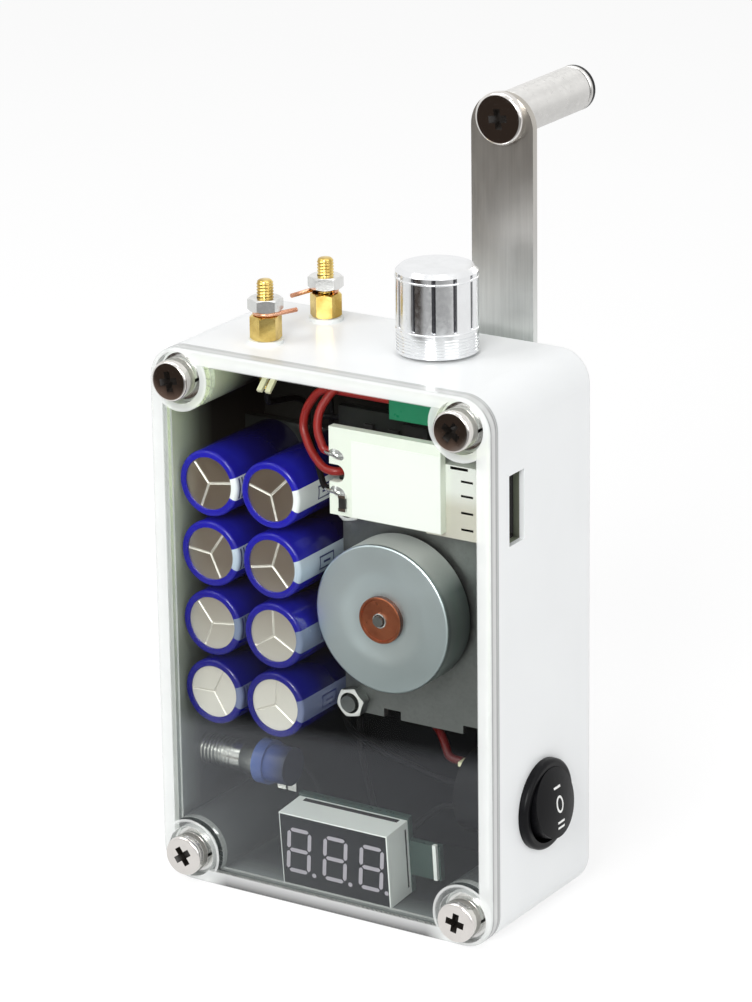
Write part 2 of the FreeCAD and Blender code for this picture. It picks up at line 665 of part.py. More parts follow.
def make_idler():
    """Wheel and pinion cut from one blank."""
    pinion_phase = TO_IDLER + math.pi + math.pi / IDLER_PINION_TEETH
    bore = IDLER_AXLE_R + RUN
    wheel = gear(IDLER_TEETH, IDLER_X, IDLER_Z, IDLER_WHEEL_Y[0], IDLER_WHEEL_Y[1], TO_MOTOR, bore)
    pinion = gear(IDLER_PINION_TEETH, IDLER_X, IDLER_Z, IDLER_WHEEL_Y[1], CRANK_WHEEL_Y[1] - 0.2,
                  pinion_phase, bore)
    return fuse([wheel, pinion])


def make_crank_wheel():
    return gear(CRANK_TEETH, CRANK_X, CRANK_Z, CRANK_WHEEL_Y[0], CRANK_WHEEL_Y[1], TO_IDLER, CRANK_SHAFT_R)


# ---------------------------------------------------------------- crank
def make_arm():
    r = ARM_W / 2
    top = HANDLE_Z - ARM_END_DROP
    bar = box(CRANK_X - r, CRANK_X + r, ARM_Y, ARM_Y + ARM_T, CRANK_Z, top)
    arm = fuse([bar, rod_y(CRANK_X, ARM_Y, ARM_Y + ARM_T, CRANK_Z, r),
                rod_y(CRANK_X, ARM_Y, ARM_Y + ARM_T, top, r)])
    arm = arm.cut(rod_y(CRANK_X, ARM_Y, ARM_Y + ARM_T, CRANK_Z, CRANK_END_R))
    return arm.cut(rod_y(HANDLE_X, ARM_Y, ARM_Y + ARM_T, HANDLE_Z, HANDLE_PIN_R))


def make_crank_shaft():
    """Main shaft, stepped down to a threaded end that carries the arm."""
    shaft = rod_y(CRANK_X, GEARS_FROM + 0.4, ARM_Y, CRANK_Z, CRANK_SHAFT_R)
    end = ARM_Y + ARM_T + CRANK_NUT_T + 0.8
    return fuse([shaft, rod_y(CRANK_X, ARM_Y, end, CRANK_Z, CRANK_END_R)])


def make_crank_nut():
    y0 = ARM_Y + ARM_T
    y1 = y0 + CRANK_NUT_T
    return hex_y(CRANK_X, y0, y1, CRANK_Z, 7.0, 10).cut(rod_y(CRANK_X, y0, y1, CRANK_Z, CRANK_END_R))


HANDLE_END = HANDLE_Y + HANDLE_L
HANDLE_PIN_END = HANDLE_END + GAP + 0.7


def make_handle_screw():
    top = ARM_Y - HANDLE_HEAD_T
    head = rod_y(HANDLE_X, top, ARM_Y, HANDLE_Z, HANDLE_HEAD_R)
    rim = [e for e in head.Edges if abs(e.CenterOfMass.y - top) < 0.01]
    head = head.makeFillet(0.8, rim)
    screw = fuse([head, rod_y(HANDLE_X, ARM_Y, HANDLE_PIN_END, HANDLE_Z, HANDLE_PIN_R)])
    return screw.cut(cross_recess(HANDLE_X, top, HANDLE_Z, 4.4, 1.2))


def make_handle_washer():
    y0 = ARM_Y + ARM_T
    return tube_y(HANDLE_X, y0, y0 + HANDLE_WASHER_T, HANDLE_Z, HANDLE_D / 2 - 0.5, HANDLE_PIN_R)


def make_handle_cap():
    y0 = HANDLE_END + GAP
    cap = rod_y(HANDLE_X, y0, y0 + HANDLE_CAP_T, HANDLE_Z, HANDLE_D / 2)
    return cap.cut(rod_y(HANDLE_X, y0, HANDLE_PIN_END, HANDLE_Z, HANDLE_PIN_R))


def make_handle():
    grip = tube_y(HANDLE_X, HANDLE_Y, HANDLE_END, HANDLE_Z, HANDLE_D / 2, HANDLE_PIN_R + RUN)
    ends = [e for e in grip.Edges if e.Length > math.pi * (HANDLE_D - 0.5)]
    return grip.makeChamfer(0.25, ends)


# ---------------------------------------------------------------- USB output
USB_X = SIDE_INSIDE - USB_SHELL_L
USB_HALF_H = USB_SLOT_H / 2 + 0.35
USB_HALF_W = USB_SLOT_W / 2 + 0.25
USB_BASE_L = 3.2
USB_TONGUE_X = USB_X + USB_SHELL_T + USB_BASE_L
USB_TONGUE_L = 9.0
USB_TONGUE_Y = (USB_Y + 0.5, USB_Y + 2.3)
USB_CONTACT_Z = (-3.5, -1.0, 1.0, 3.5)
USB_CONTACT_T = 0.25
USB_BOARD_Y = (USB_Y - USB_HALF_H - FIT - BOARD_T, USB_Y - USB_HALF_H - FIT)
USB_BOARD_L = 22.5
USB_BOARD_ABOVE = 10.2
USB_BOARD_BELOW = 5.65
USB_BOARD_RIGHT = USB_X + 4.0
USB_BOARD_LEFT = USB_BOARD_RIGHT - USB_BOARD_L
USB_BOARD_MIDDLE = (USB_BOARD_Y[0] + USB_BOARD_Y[1]) / 2
NOTCH_L = 3.1           # wire notch in the board's left edge
NOTCH_R = 1.6
NOTCH_Z = USB_Z + 1.85


def usb_block(x0, x1, wall):
    return box(x0, x1, USB_Y - USB_HALF_H + wall, USB_Y + USB_HALF_H - wall,
               USB_Z - USB_HALF_W + wall, USB_Z + USB_HALF_W - wall)


def make_usb_shell():
    return usb_block(USB_X, SIDE_INSIDE, 0).cut(usb_block(USB_X + USB_SHELL_T, SIDE_INSIDE, USB_SHELL_T))


def make_usb_tongue():
    base = usb_block(USB_X + USB_SHELL_T, USB_TONGUE_X, USB_SHELL_T)
    tongue = box(USB_TONGUE_X, USB_TONGUE_X + USB_TONGUE_L, USB_TONGUE_Y[0], USB_TONGUE_Y[1],
                 USB_Z - USB_HALF_W + 0.95, USB_Z + USB_HALF_W - 0.95)
    return fuse([base, tongue])


def make_usb_contact(dz):
    z = USB_Z + dz
    return box(USB_TONGUE_X, USB_TONGUE_X + USB_TONGUE_L - 0.8, USB_TONGUE_Y[0] - USB_CONTACT_T,
               USB_TONGUE_Y[0], z - 0.5, z + 0.5)


def make_usb_board():
    y0, y1 = USB_BOARD_Y
    board = box(USB_BOARD_LEFT, USB_BOARD_RIGHT, y0, y1, USB_Z - USB_BOARD_BELOW, USB_Z + USB_BOARD_ABOVE)
    end = USB_BOARD_LEFT + NOTCH_L - NOTCH_R
    notch = fuse([box(USB_BOARD_LEFT, end, y0, y1, NOTCH_Z - NOTCH_R, NOTCH_Z + NOTCH_R),
                  rod_y(end, y0, y1, NOTCH_Z, NOTCH_R)])
    return board.cut(notch)


# ---------------------------------------------------------------- three-digit voltmeter
METER_Z = (WALL + FIT, WALL + FIT + METER_H)
METER_MIDDLE_Z = (METER_Z[0] + METER_Z[1]) / 2
METER_Y = (LID_INSIDE + METER_SETBACK, LID_INSIDE + METER_SETBACK + METER_T)
METER_FACE_T = 0.5
METER_BOARD_T = 1.2
METER_BOARD_Y = (METER_Y[1], METER_Y[1] + METER_BOARD_T)
SEGMENT_HALF = 0.5      # half a bar's width
SEGMENT_GAP = 0.12
DIGIT_HALF_W = 2.15
DIGIT_HALF_H = 4.1
DIGIT_X = [METER_X + DIGIT_PITCH * i for i in (-1, 0, 1)]
SLOT_T = 0.35           # slots in the housing's top and right side
SLOT_DEPTH = 0.8
SLOT_Y = METER_Y[1] - 0.9
SLOT_INSET = 1.2        # slot's ends from the housing's edges


def tipped(shape):
    """A piece of the meter, turned about the meter's lower front edge."""
    shape.rotate(V(METER_X, METER_Y[0], METER_Z[0]), V(1, 0, 0), METER_TIP)
    return shape


def tipped_point(x, y, z):
    turned = tipped(Part.Vertex(x, y, z)).Point
    return (turned.x, turned.y, turned.z)


def meter_block(rim, y0, y1):
    return box(METER_X - METER_W / 2 + rim, METER_X + METER_W / 2 - rim, y0, y1,
               METER_Z[0] + rim, METER_Z[1] - rim)


def make_meter_housing():
    housing = meter_block(0, METER_Y[0], METER_Y[1])
    housing = housing.cut(meter_block(METER_RIM, METER_Y[0], METER_Y[0] + METER_FACE_T))
    left, right = METER_X - METER_W / 2, METER_X + METER_W / 2
    housing = housing.cut(box(left + SLOT_INSET, right - SLOT_INSET, SLOT_Y, SLOT_Y + SLOT_T,
                              METER_Z[1] - SLOT_DEPTH, METER_Z[1]))
    return housing.cut(box(right - SLOT_DEPTH, right, SLOT_Y, SLOT_Y + SLOT_T,
                           METER_Z[0] + SLOT_INSET, METER_Z[1] - SLOT_INSET))


def make_meter_face():
    face = meter_block(METER_RIM, METER_Y[0] + 0.02, METER_Y[0] + METER_FACE_T)
    for segment in meter_segments():
        face = face.cut(segment)
    return face


def digit_bar(cx, middle, half_length, upright):
    """Six-sided bar centred at middle, pointed at both ends of its long way."""
    lean = math.tan(math.radians(DIGIT_LEAN))
    side = half_length - SEGMENT_HALF
    outline = [(-half_length, 0), (-side, -SEGMENT_HALF), (side, -SEGMENT_HALF),
               (half_length, 0), (side, SEGMENT_HALF), (-side, SEGMENT_HALF)]
    if upright:
        outline = [(-b, a) for a, b in outline]
    points = [(middle[0] + a, middle[1] + b) for a, b in outline]
    corners = [V(cx + a + b * lean, METER_Y[0] + 0.02, METER_MIDDLE_Z + b) for a, b in points]
    return prism(corners, V(0, METER_FACE_T - 0.02, 0))


def meter_segments():
    """Seven bars and a dot for each of the three digits."""
    solids = []
    for cx in DIGIT_X:
        for dz in (-DIGIT_HALF_H, 0.0, DIGIT_HALF_H):
            solids.append(digit_bar(cx, (0.0, dz), DIGIT_HALF_W - SEGMENT_GAP, False))
        for dx in (-DIGIT_HALF_W, DIGIT_HALF_W):
            for dz in (-DIGIT_HALF_H / 2, DIGIT_HALF_H / 2):
                solids.append(digit_bar(cx, (dx, dz), DIGIT_HALF_H / 2 - SEGMENT_GAP, True))
    for cx in DIGIT_X:
        solids.append(rod_y(cx + DIGIT_HALF_W + 0.75, METER_Y[0] + 0.02, METER_Y[0] + METER_FACE_T,
                            METER_MIDDLE_Z - DIGIT_HALF_H - 0.2, 0.45))
    return solids


def make_meter_board():
    y0, y1 = METER_BOARD_Y
    left, right = METER_X - METER_W / 2 - 0.2, METER_X + METER_W / 2 + 0.2
    main = box(left, right, y0, y1, METER_Z[0], METER_Z[1] + 0.6)
    ear = box(right, right + 6.2, y0, y1, METER_Z[0] + 3.6, METER_Z[0] + 10.3)
    return fuse([main, ear])


# ---------------------------------------------------------------- input socket at the left
JACK_BUSH_END = -SIDE + JACK_BUSH_L
JACK_COLLAR_T = 3.4
JACK_BODY_X = (JACK_BUSH_END + JACK_COLLAR_T, JACK_BUSH_END + JACK_COLLAR_T + JACK_BODY_L)
JACK_FLANGE_R = 4.1
JACK_FLANGE_T = 2.2
JACK_BARREL_R = 3.5
JACK_LUG_DROP = 5.2     # lug ends below the axis
JACK_THREADS = 9
JACK_THREAD_PITCH = 0.75


def make_jack_bush():
    bush = rod_x(-SIDE, JACK_BUSH_END, JACK_Y, JACK_Z, JACK_BUSH_R)
    collar = Part.makeCone(JACK_BUSH_R, JACK_FLANGE_R, JACK_COLLAR_T, V(JACK_BUSH_END, JACK_Y, JACK_Z),
                           V(1, 0, 0))
    for i in range(JACK_THREADS):
        x = -SIDE_INSIDE + 0.6 + JACK_THREAD_PITCH * i
        ring = rod_x(x, x + 0.35, JACK_Y, JACK_Z, JACK_BUSH_R)
        bush = bush.cut(ring.cut(rod_x(x, x + 0.35, JACK_Y, JACK_Z, JACK_BUSH_R - 0.3)))
    return fuse([bush, collar]).cut(rod_x(-SIDE, JACK_BUSH_END, JACK_Y, JACK_Z, JACK_BORE_R))


def make_jack_body():
    start, end = JACK_BODY_X
    flange = rod_x(start, start + JACK_FLANGE_T, JACK_Y, JACK_Z, JACK_FLANGE_R)
    return fuse([flange, rod_x(start, end, JACK_Y, JACK_Z, JACK_BARREL_R)])


def make_jack_lug(x):
    lug = box(x - 0.9, x + 0.9, JACK_Y + 1.0, JACK_Y + 1.5, JACK_Z - JACK_LUG_DROP, JACK_Z)
    return lug.cut(rod_x(x - 0.9, x + 0.9, JACK_Y, JACK_Z, JACK_BARREL_R))


# ---------------------------------------------------------------- capacitor bank and boards
CAP_FRONT = FRONT + CAP_SETBACK
CAP_BACK = CAP_FRONT + CAP_L
CAP_LEFT_X = -SIDE_INSIDE + GAP + CAP_D / 2
CAP_AXES = [(CAP_LEFT_X + CAP_PITCH * column, CAP_TOP_Z - CAP_PITCH * row)
            for column in range(CAP_COLUMNS) for row in range(CAP_ROWS)]
CAN_R = CAP_D / 2 - CAP_SLEEVE_T
BOARD_LEFT = -SIDE_INSIDE + GAP
BOARD_RIGHT = CAP_AXES[-1][0] + CAP_D / 2 - 0.15
BOARD_BOTTOM = CAP_AXES[-1][1] - CAP_D / 2 - 0.05
BOARD_TOP = CAP_TOP_Z + CAP_D / 2
BOARD_MIDDLE = CAP_BACK + BOARD_T / 2


def make_cap_can(x, z):
    return rod_y(x, CAP_FRONT + CAP_SLEEVE_T, CAP_BACK, z, CAN_R)


def make_cap_sleeve(x, z):
    sleeve = rod_y(x, CAP_FRONT, CAP_BACK, z, CAP_D / 2)
    rim = [e for e in sleeve.Edges if abs(e.CenterOfMass.y - CAP_FRONT) < 0.01]
    sleeve = sleeve.makeFillet(0.6, rim)
    sleeve = sleeve.cut(rod_y(x, CAP_FRONT, CAP_FRONT + CAP_SLEEVE_T, z, CAN_R - 0.95))
    return sleeve.cut(rod_y(x, CAP_FRONT + CAP_SLEEVE_T, CAP_BACK, z, CAN_R))


def make_cap_board():
    """Board behind the capacitors, from the side wall to just past the last column."""
    return box(BOARD_LEFT, BOARD_RIGHT, CAP_BACK, CAP_BACK + BOARD_T, BOARD_BOTTOM, BOARD_TOP)


MAIN_BOARD_BACK = FRONT_PLATE - 1.35
MAIN_BOARD_Y = (MAIN_BOARD_BACK - BOARD_T, MAIN_BOARD_BACK)
MAIN_BOARD_X = (PLATE_X[0] + 1.3, PLATE_X[0] + 27.8)
MAIN_BOARD_Z = (PLATE_Z[1] + 1.2, POT_BOTTOM - 1.0)
MAIN_BOARD_H = MAIN_BOARD_Z[1] - MAIN_BOARD_Z[0]
# left edge, bottom edge as a share of the board, width, height as a share, thickness
BOARD_CHIPS = [(14.0, 0.695, 5.0, 0.24, 1.4),
               (20.5, 0.72, 3.5, 0.227, 1.1),
               (7.0, 0.13, 7.4, 0.48, 3.6),
               (10.7, 0.753, 2.0, 0.078, 0.8),
               (5.7, 0.779, 1.8, 0.071, 0.8)]


def make_main_board():
    return box(MAIN_BOARD_X[0], MAIN_BOARD_X[1], MAIN_BOARD_Y[0], MAIN_BOARD_Y[1],
               MAIN_BOARD_Z[0], MAIN_BOARD_Z[1])


def make_board_chip(left, bottom, width, height, thick):
    x = MAIN_BOARD_X[0] + left
    z = MAIN_BOARD_Z[0] + bottom * MAIN_BOARD_H
    return box(x, x + width, MAIN_BOARD_Y[0] - thick, MAIN_BOARD_Y[0], z, z + height * MAIN_BOARD_H)


# ================================================================ pieces
write("box_body", [make_box_body()])
write("clear_lid", [make_lid()])
write("lid_seal", [ring_y(GROOVE[0] + FIT, GROOVE[1] - FIT, SEAM, SEAM + GROOVE_DEPTH - FIT)])
write("lid_screws", [make_lid_screw(x, z) for x, z in SCREW_AXES])
write("lid_washers", [make(x, z) for make in (make_spring_washer, make_flat_washer) for x, z in SCREW_AXES])

write("post_studs", [make_post_stud(x, y) for x, y in POSTS])
write("post_washers", [tube_z(x, y, BOX_H, BOX_H + POST_WASHER_T, 3.05, STUD_R) for x, y in POSTS])
write("post_standoffs", [make_standoff(x, y, turn) for (x, y), turn in zip(POSTS, (40, 25))])
write("post_nuts", [make_post_nut(x, y, z, turn) for (x, y), turn in zip(POSTS, (36, 30))
                    for z in (POST_NUT_Z, TOP_INSIDE - LUG_T - POST_NUT_T)])
write("post_wire_ends", [make_post_wire(*POSTS[0], (0.39, 0.92, 0), 5.2),
                         make_post_wire(*POSTS[1], (-0.21, -0.978, 0), 6.6)])
write("post_lugs", [make_post_lug(x, y) for x, y in POSTS])

write("pot_body", [make_pot_body()])
write("pot_shaft", [make_pot_shaft()])
write("pot_nut", [make_pot_nut()])
write("knob", [make_knob()])
write("knob_screw", [make_knob_screw()])
write("pot_board", [make_pot_board()])

write("switch_case", [make_switch_case()])
write("switch_rocker", [make_rocker()])
write("switch_terminals", [make_terminal(z, TERMINAL_X) for z in TERMINAL_Z])

write("motor_can", [make_motor_can()])
write("motor_bush", [make_motor_bush()])
write("motor_end_plate", [make_motor_end()])
write("motor_rotor", [make_motor_rotor()])
write("motor_shaft", [make_motor_shaft()])
write("motor_pinion", [make_motor_pinion()])

idler_hole = (IDLER_X, IDLER_Z, IDLER_AXLE_R)
write("gearbox_front_plate", [make_plate(FRONT_PLATE, [(MOTOR_X, MOTOR_Z, MOTOR_BOSS_R), idler_hole])])
write("gearbox_rear_plate", [make_plate(REAR_PLATE, [(CRANK_X, CRANK_Z, BUSH_R), idler_hole])])
write("gearbox_pillars", make_pillars())
write("gearbox_screws", [make_gearbox_screw(x, z) for x, z in PILLARS])
write("gearbox_nuts", [make_gearbox_nut(x, z) for x, z in PILLARS])
write("idler_axle", [rod_y(IDLER_X, FRONT_PLATE, REAR_PLATE + PLATE_T, IDLER_Z, IDLER_AXLE_R)])
write("idler_gear", [make_idler()])
write("crank_wheel", [make_crank_wheel()])
write("crank_bush", [make_crank_bush()])
write("crank_bush_nut", [make_bush_nut()])

write("crank_shaft", [make_crank_shaft()])
write("crank_arm", [make_arm()])
write("crank_nut", [make_crank_nut()])
write("handle_screw", [make_handle_screw()])
write("handle_washer", [make_handle_washer()])
write("handle_cap", [make_handle_cap()])
write("crank_handle", [make_handle()])

write("usb_board", [make_usb_board()])
write("usb_shell", [make_usb_shell()])
write("usb_tongue", [make_usb_tongue()] + [make_usb_contact(dz) for dz in USB_CONTACT_Z])

write("meter_housing", [tipped(make_meter_housing())])
write("meter_face", [tipped(make_meter_face())])
write("meter_segments", [tipped(bar) for bar in meter_segments()])
write("meter_board", [tipped(make_meter_board())])

write("jack_bush", [make_jack_bush()])
write("jack_body", [make_jack_body()])
write("jack_lugs", [make_jack_lug(JACK_BODY_X[1] - d) for d in (3.2, 1.0)])

write("cap_cans", [make_cap_can(x, z) for x, z in CAP_AXES])
write("cap_sleeves", [make_cap_sleeve(x, z) for x, z in CAP_AXES])
write("cap_board", [make_cap_board()])
write("main_board", [make_main_board()])
write("main_board_parts", [make_board_chip(*chip) for chip in BOARD_CHIPS])

# ---------------------------------------------------------------- wiring inside the box
def meter_end(x, z):
    """Last two points of a wire that meets the meter's board square on."""
    return [tipped_point(x, METER_BOARD_Y[1] + away, z) for away in (3.5, 0.0)]


RED_ROUTES = [
    [(9.6, -8.5, 94.2), (-4.6, -8.5, 94.2), (-7.6, -8.7, 90.0), (-8.2, -9.0, 86.6), (-5.6, -10.4, 82.9),
     (-1.8, USB_BOARD_MIDDLE, NOTCH_Z), (1.3, USB_BOARD_MIDDLE, NOTCH_Z), (1.3, MAIN_BOARD_Y[0], NOTCH_Z)],
    [(9.6, -8.5, 96.2), (1.5, -8.5, 96.2), (-1.4, -9.6, 94.6), (-3.3, -11.2, 91.0), (-3.3, -12.0, 87.6),
     (-1.8, USB_BOARD_MIDDLE, 84.3), (USB_BOARD_LEFT, USB_BOARD_MIDDLE, 84.3)],
    [(TERMINAL_X, 0.0, 26.5), (15.6, 0.0, 26.5), (12.6, 2.2, 30.0), (8.0, 6.0, 30.4), (-3.6, BOARD_MIDDLE, 30.4),
     (BOARD_RIGHT, BOARD_MIDDLE, 30.4)],
]
BLACK_ROUTES = [
    [(USB_BOARD_LEFT, USB_BOARD_MIDDLE, 77.6), (-1.9, USB_BOARD_MIDDLE, 77.6), (-5.6, -8.6, 80.6),
     (-8.6, -6.4, 84.6), (-8.6, -3.0, 87.0), (-6.5, -2.4, 87.0), (-4.5, -2.4, 87.0)],
    [(TERMINAL_X, 0.0, 22.0), (14.6, 0.0, 22.0), (-4.0, 6.0, 22.4), (-12.0, BOARD_MIDDLE, 24.0),
     (-12.0, BOARD_MIDDLE, BOARD_BOTTOM)],
    [(TERMINAL_X, 0.0, 17.5), (14.6, 0.0, 17.5), (9.0, 0.5, 13.0)] + meter_end(8.0, 9.0),
    [(-9.0, BOARD_MIDDLE, BOARD_BOTTOM), (-9.0, BOARD_MIDDLE, 20.0), (-3.0, 3.0, 15.0)] + meter_end(2.5, 12.5),
    [(POSTS[0][0], POSTS[0][1], STUD_END), (POSTS[0][0], POSTS[0][1], 89.0), (-19.0, 5.0, 86.5),
     (-19.0, BOARD_MIDDLE, 84.5), (-19.0, BOARD_MIDDLE, BOARD_TOP)],
    [(POSTS[1][0], POSTS[1][1], STUD_END), (POSTS[1][0], POSTS[1][1], 89.0), (-14.0, BOARD_MIDDLE, 85.0),
     (-14.0, BOARD_MIDDLE, BOARD_TOP)],
]
write("red_wires", [wire_piece(route, 1.5) for route in RED_ROUTES])
write("black_wires", [wire_piece(route, 1.1) for route in BLACK_ROUTES])
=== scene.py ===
"""Hand crank generator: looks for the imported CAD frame.

Pieces are written in millimetres in the frame of the part (+X right, -Y clear lid, +Z up)
and turned into metres when their mesh is made. Materials use metres, with lengths times MM.
"""

import json
import math

import bmesh
import bpy
from mathutils import Matrix, Vector


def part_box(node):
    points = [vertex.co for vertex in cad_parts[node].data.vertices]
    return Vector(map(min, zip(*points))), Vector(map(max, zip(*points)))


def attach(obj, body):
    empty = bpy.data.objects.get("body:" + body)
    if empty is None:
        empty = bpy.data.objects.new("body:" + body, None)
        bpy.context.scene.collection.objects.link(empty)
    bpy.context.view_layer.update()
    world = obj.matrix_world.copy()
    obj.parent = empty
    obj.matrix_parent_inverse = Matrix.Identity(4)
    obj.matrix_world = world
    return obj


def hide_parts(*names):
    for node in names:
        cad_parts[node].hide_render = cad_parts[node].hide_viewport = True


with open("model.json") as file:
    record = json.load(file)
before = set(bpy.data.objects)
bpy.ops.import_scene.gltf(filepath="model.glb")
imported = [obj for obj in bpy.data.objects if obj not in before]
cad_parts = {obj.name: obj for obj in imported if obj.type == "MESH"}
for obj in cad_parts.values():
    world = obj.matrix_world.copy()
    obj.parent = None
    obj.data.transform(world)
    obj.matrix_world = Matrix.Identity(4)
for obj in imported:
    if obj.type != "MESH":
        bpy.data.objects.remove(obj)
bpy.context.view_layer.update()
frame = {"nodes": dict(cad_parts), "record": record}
nodes = frame["nodes"]
MM = 0.001


# ---- places read from the frame
def box_mm(node):
    low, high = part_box(node)
    return low / MM, high / MM


def middle(low, high):
    return (low + high) / 2


def solids_of(node):
    """Lowest and highest corner, in mm, of each separate solid of a CAD node."""
    mesh = nodes[node].data
    keys = [tuple(round(c * 1e5) for c in v.co) for v in mesh.vertices]
    parent = {k: k for k in keys}

    def root(k):
        while parent[k] != k:
            parent[k] = parent[parent[k]]
            k = parent[k]
        return k

    for polygon in mesh.polygons:
        first = root(keys[polygon.vertices[0]])
        for i in polygon.vertices[1:]:
            parent[root(keys[i])] = first
    groups = {}
    for k in keys:
        groups.setdefault(root(k), []).append(k)
    corners = []
    for group in groups.values():
        low = Vector([min(k[i] for k in group) for i in range(3)]) / 100
        high = Vector([max(k[i] for k in group) for i in range(3)]) / 100
        corners.append((low, high))
    return sorted(corners, key=lambda c: tuple(c[0]))


# ---- meshes
def added(name, data):
    obj = bpy.data.objects.new(name, data)
    bpy.context.scene.collection.objects.link(obj)
    return obj


def piece(name, points, faces, material, body="case", sharp=35, face_materials=None):
    """A mesh object, with points in mm, that rides on a CAD body. material may be a list."""
    mesh = bpy.data.meshes.new(name)
    mesh.from_pydata([Vector(p) * MM for p in points], [], faces)
    mesh.validate()
    for m in material if isinstance(material, list) else [material]:
        mesh.materials.append(m)
    if face_materials:
        for polygon, index in zip(mesh.polygons, face_materials):
            polygon.material_index = index
    obj = added(name, mesh)
    tidy_normals(mesh, sharp)
    if body:
        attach(obj, body)
    return obj


def tidy_normals(mesh, sharp):
    bm = bmesh.new()
    bm.from_mesh(mesh)
    bmesh.ops.recalc_face_normals(bm, faces=bm.faces)
    bm.to_mesh(mesh)
    bm.free()
    shade(mesh, sharp)


def shade(mesh, sharp):
    """Smooth, except where faces meet at more than the angle sharp."""
    mesh.shade_smooth()
    mesh.set_sharp_from_angle(angle=math.radians(sharp))


def stands_for(obj, node):
    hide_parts(node)


def copy_of(node, name, body):
    """A piece with the shape of a CAD node, free to be carved."""
    obj = added(name, nodes[node].data.copy())
    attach(obj, body)
    return obj


def carve(obj, forms, sharp=30, inside=None):
    """Cuts closed forms out of obj, for good. inside is the material of the cut faces."""
    for points, faces in forms:
        tool = piece("cutter", points, faces, inside or obj.data.materials[0], body=None)
        cut = obj.modifiers.new("cut", "BOOLEAN")
        cut.material_mode = "TRANSFER"
        cut.operation = "DIFFERENCE"
        cut.solver = "EXACT"
        cut.object = tool
        bpy.context.view_layer.update()
        shaped = bpy.data.meshes.new_from_object(obj.evaluated_get(bpy.context.evaluated_depsgraph_get()))
        obj.modifiers.remove(cut)
        obj.data = shaped
        bpy.data.objects.remove(tool)
    shade(obj.data, sharp)


# ---- forms: points in mm, and faces
TURN_STEPS = 96
AXES = {"y": lambda a, b, h: (a, h, b), "z": lambda a, b, h: (a, b, h)}


def bridge(low, high):
    """Faces between two rings; either may be a single point."""
    n = max(len(low), len(high))
    if len(low) == 1:
        return [(low[0], high[i], high[(i + 1) % n]) for i in range(n)]
    if len(high) == 1:
        return [(low[i], low[(i + 1) % n], high[0]) for i in range(n)]
    return [(low[i], low[(i + 1) % n], high[(i + 1) % n], high[i]) for i in range(n)]


def skin(rings):
    """Faces between each ring and the next."""
    return [face for low, high in zip(rings, rings[1:]) for face in bridge(low, high)]


def prism_faces(n):
    """Faces of a form whose points are one outline of n points and then the other."""
    low, high = list(range(n)), list(range(n, 2 * n))
    return [tuple(low), tuple(reversed(high))] + bridge(low, high)


def about(centre, axis, points):
    """Points, given about an axis, moved to run about the same axis through centre."""
    offset = Vector(centre)
    offset["xyz".index(axis)] = 0
    return [Vector(p) + offset for p in points]


def turned(profile, centre, axis, steps=TURN_STEPS):
    """A turned form. profile is (radius, height along the axis) from end to end."""
    place = AXES[axis]
    points, rings = [], []
    for r, h in profile:
        if r < 1e-6:
            rings.append([len(points)])
            points.append(place(0, 0, h))
            continue
        rings.append(list(range(len(points), len(points) + steps)))
        for i in range(steps):
            a = 2 * math.pi * i / steps
            points.append(place(r * math.cos(a), r * math.sin(a), h))
    return about(centre, axis, points), skin(rings)


def arc(cr, ch, radius, start, end, steps=6):
    """Profile points on an arc about (cr, ch); angles in degrees, 0 outwards, 90 up the axis."""
    angles = [math.radians(start + (end - start) * i / steps) for i in range(steps + 1)]
    return [(cr + radius * math.cos(a), ch + radius * math.sin(a)) for a in angles]


def block(low, high):
    xs, ys, zs = zip(low, high)
    points = [(x, y, z) for x in xs for y in ys for z in zs]
    faces = [(0, 1, 3, 2), (4, 6, 7, 5), (0, 4, 5, 1), (2, 3, 7, 6), (0, 2, 6, 4), (1, 5, 7, 3)]
    return points, faces


def joined(forms):
    """Several forms as one."""
    points, faces = [], []
    for p, f in forms:
        start = len(points)
        points += list(p)
        faces += [tuple(i + start for i in face) for face in f]
    return points, faces


def hex_nut(centre, axis, h0, h1, across_flats, bore, turn):
    """Hexagon with its corners turned off at both ends, round a bore. turn is in degrees."""
    steps, flat_share, chamfer = 72, 0.97, math.tan(math.radians(32))
    place = AXES[axis]
    inner = across_flats / 2 * flat_share
    side = math.radians(60)
    points = []
    for i in range(steps):
        a = 2 * math.pi * i / steps
        edge = across_flats / 2 / math.cos((a - math.radians(turn)) % side - side / 2)
        drop = max(0.0, edge - inner) * chamfer
        for r, h in ((bore, h0), (inner, h0), (edge, h0 + drop), (edge, h1 - drop), (inner, h1), (bore, h1)):
            points.append(place(r * math.cos(a), r * math.sin(a), h))
    rings = [list(range(6 * i, 6 * i + 6)) for i in range(steps)]
    return about(centre, axis, points), skin(rings + rings[:1])


def threaded(centre, h0, h1, radius, pitch, depth):
    """Threaded stud along Z with a rounded tip at the top."""
    steps, rows, tip = 48, int((h1 - h0) / pitch * 8), 0.8
    points, rings = [], []
    for k in range(rows + 1):
        h = h0 + (h1 - h0) * k / rows
        left = h1 - h
        full = radius - tip + math.sqrt(max(0.0, tip ** 2 - (tip - left) ** 2)) if left < tip else radius
        rings.append(list(range(len(points), len(points) + steps)))
        for i in range(steps):
            a = 2 * math.pi * i / steps
            wave = abs(((h / pitch - i / steps) % 1.0) * 2 - 1)
            r = full - depth * wave * min(1.0, left / tip)
            points.append((r * math.cos(a), r * math.sin(a), h))
    return about(centre, "z", points), skin(rings) + [tuple(reversed(rings[0])), tuple(rings[-1])]


def headings(route):
    """Each point of a route, with the direction in which the route passes it."""
    route = [Vector(p) for p in route]
    last = len(route) - 1
    return [(p, (route[min(i + 1, last)] - route[max(i - 1, 0)]).normalized()) for i, p in enumerate(route)]


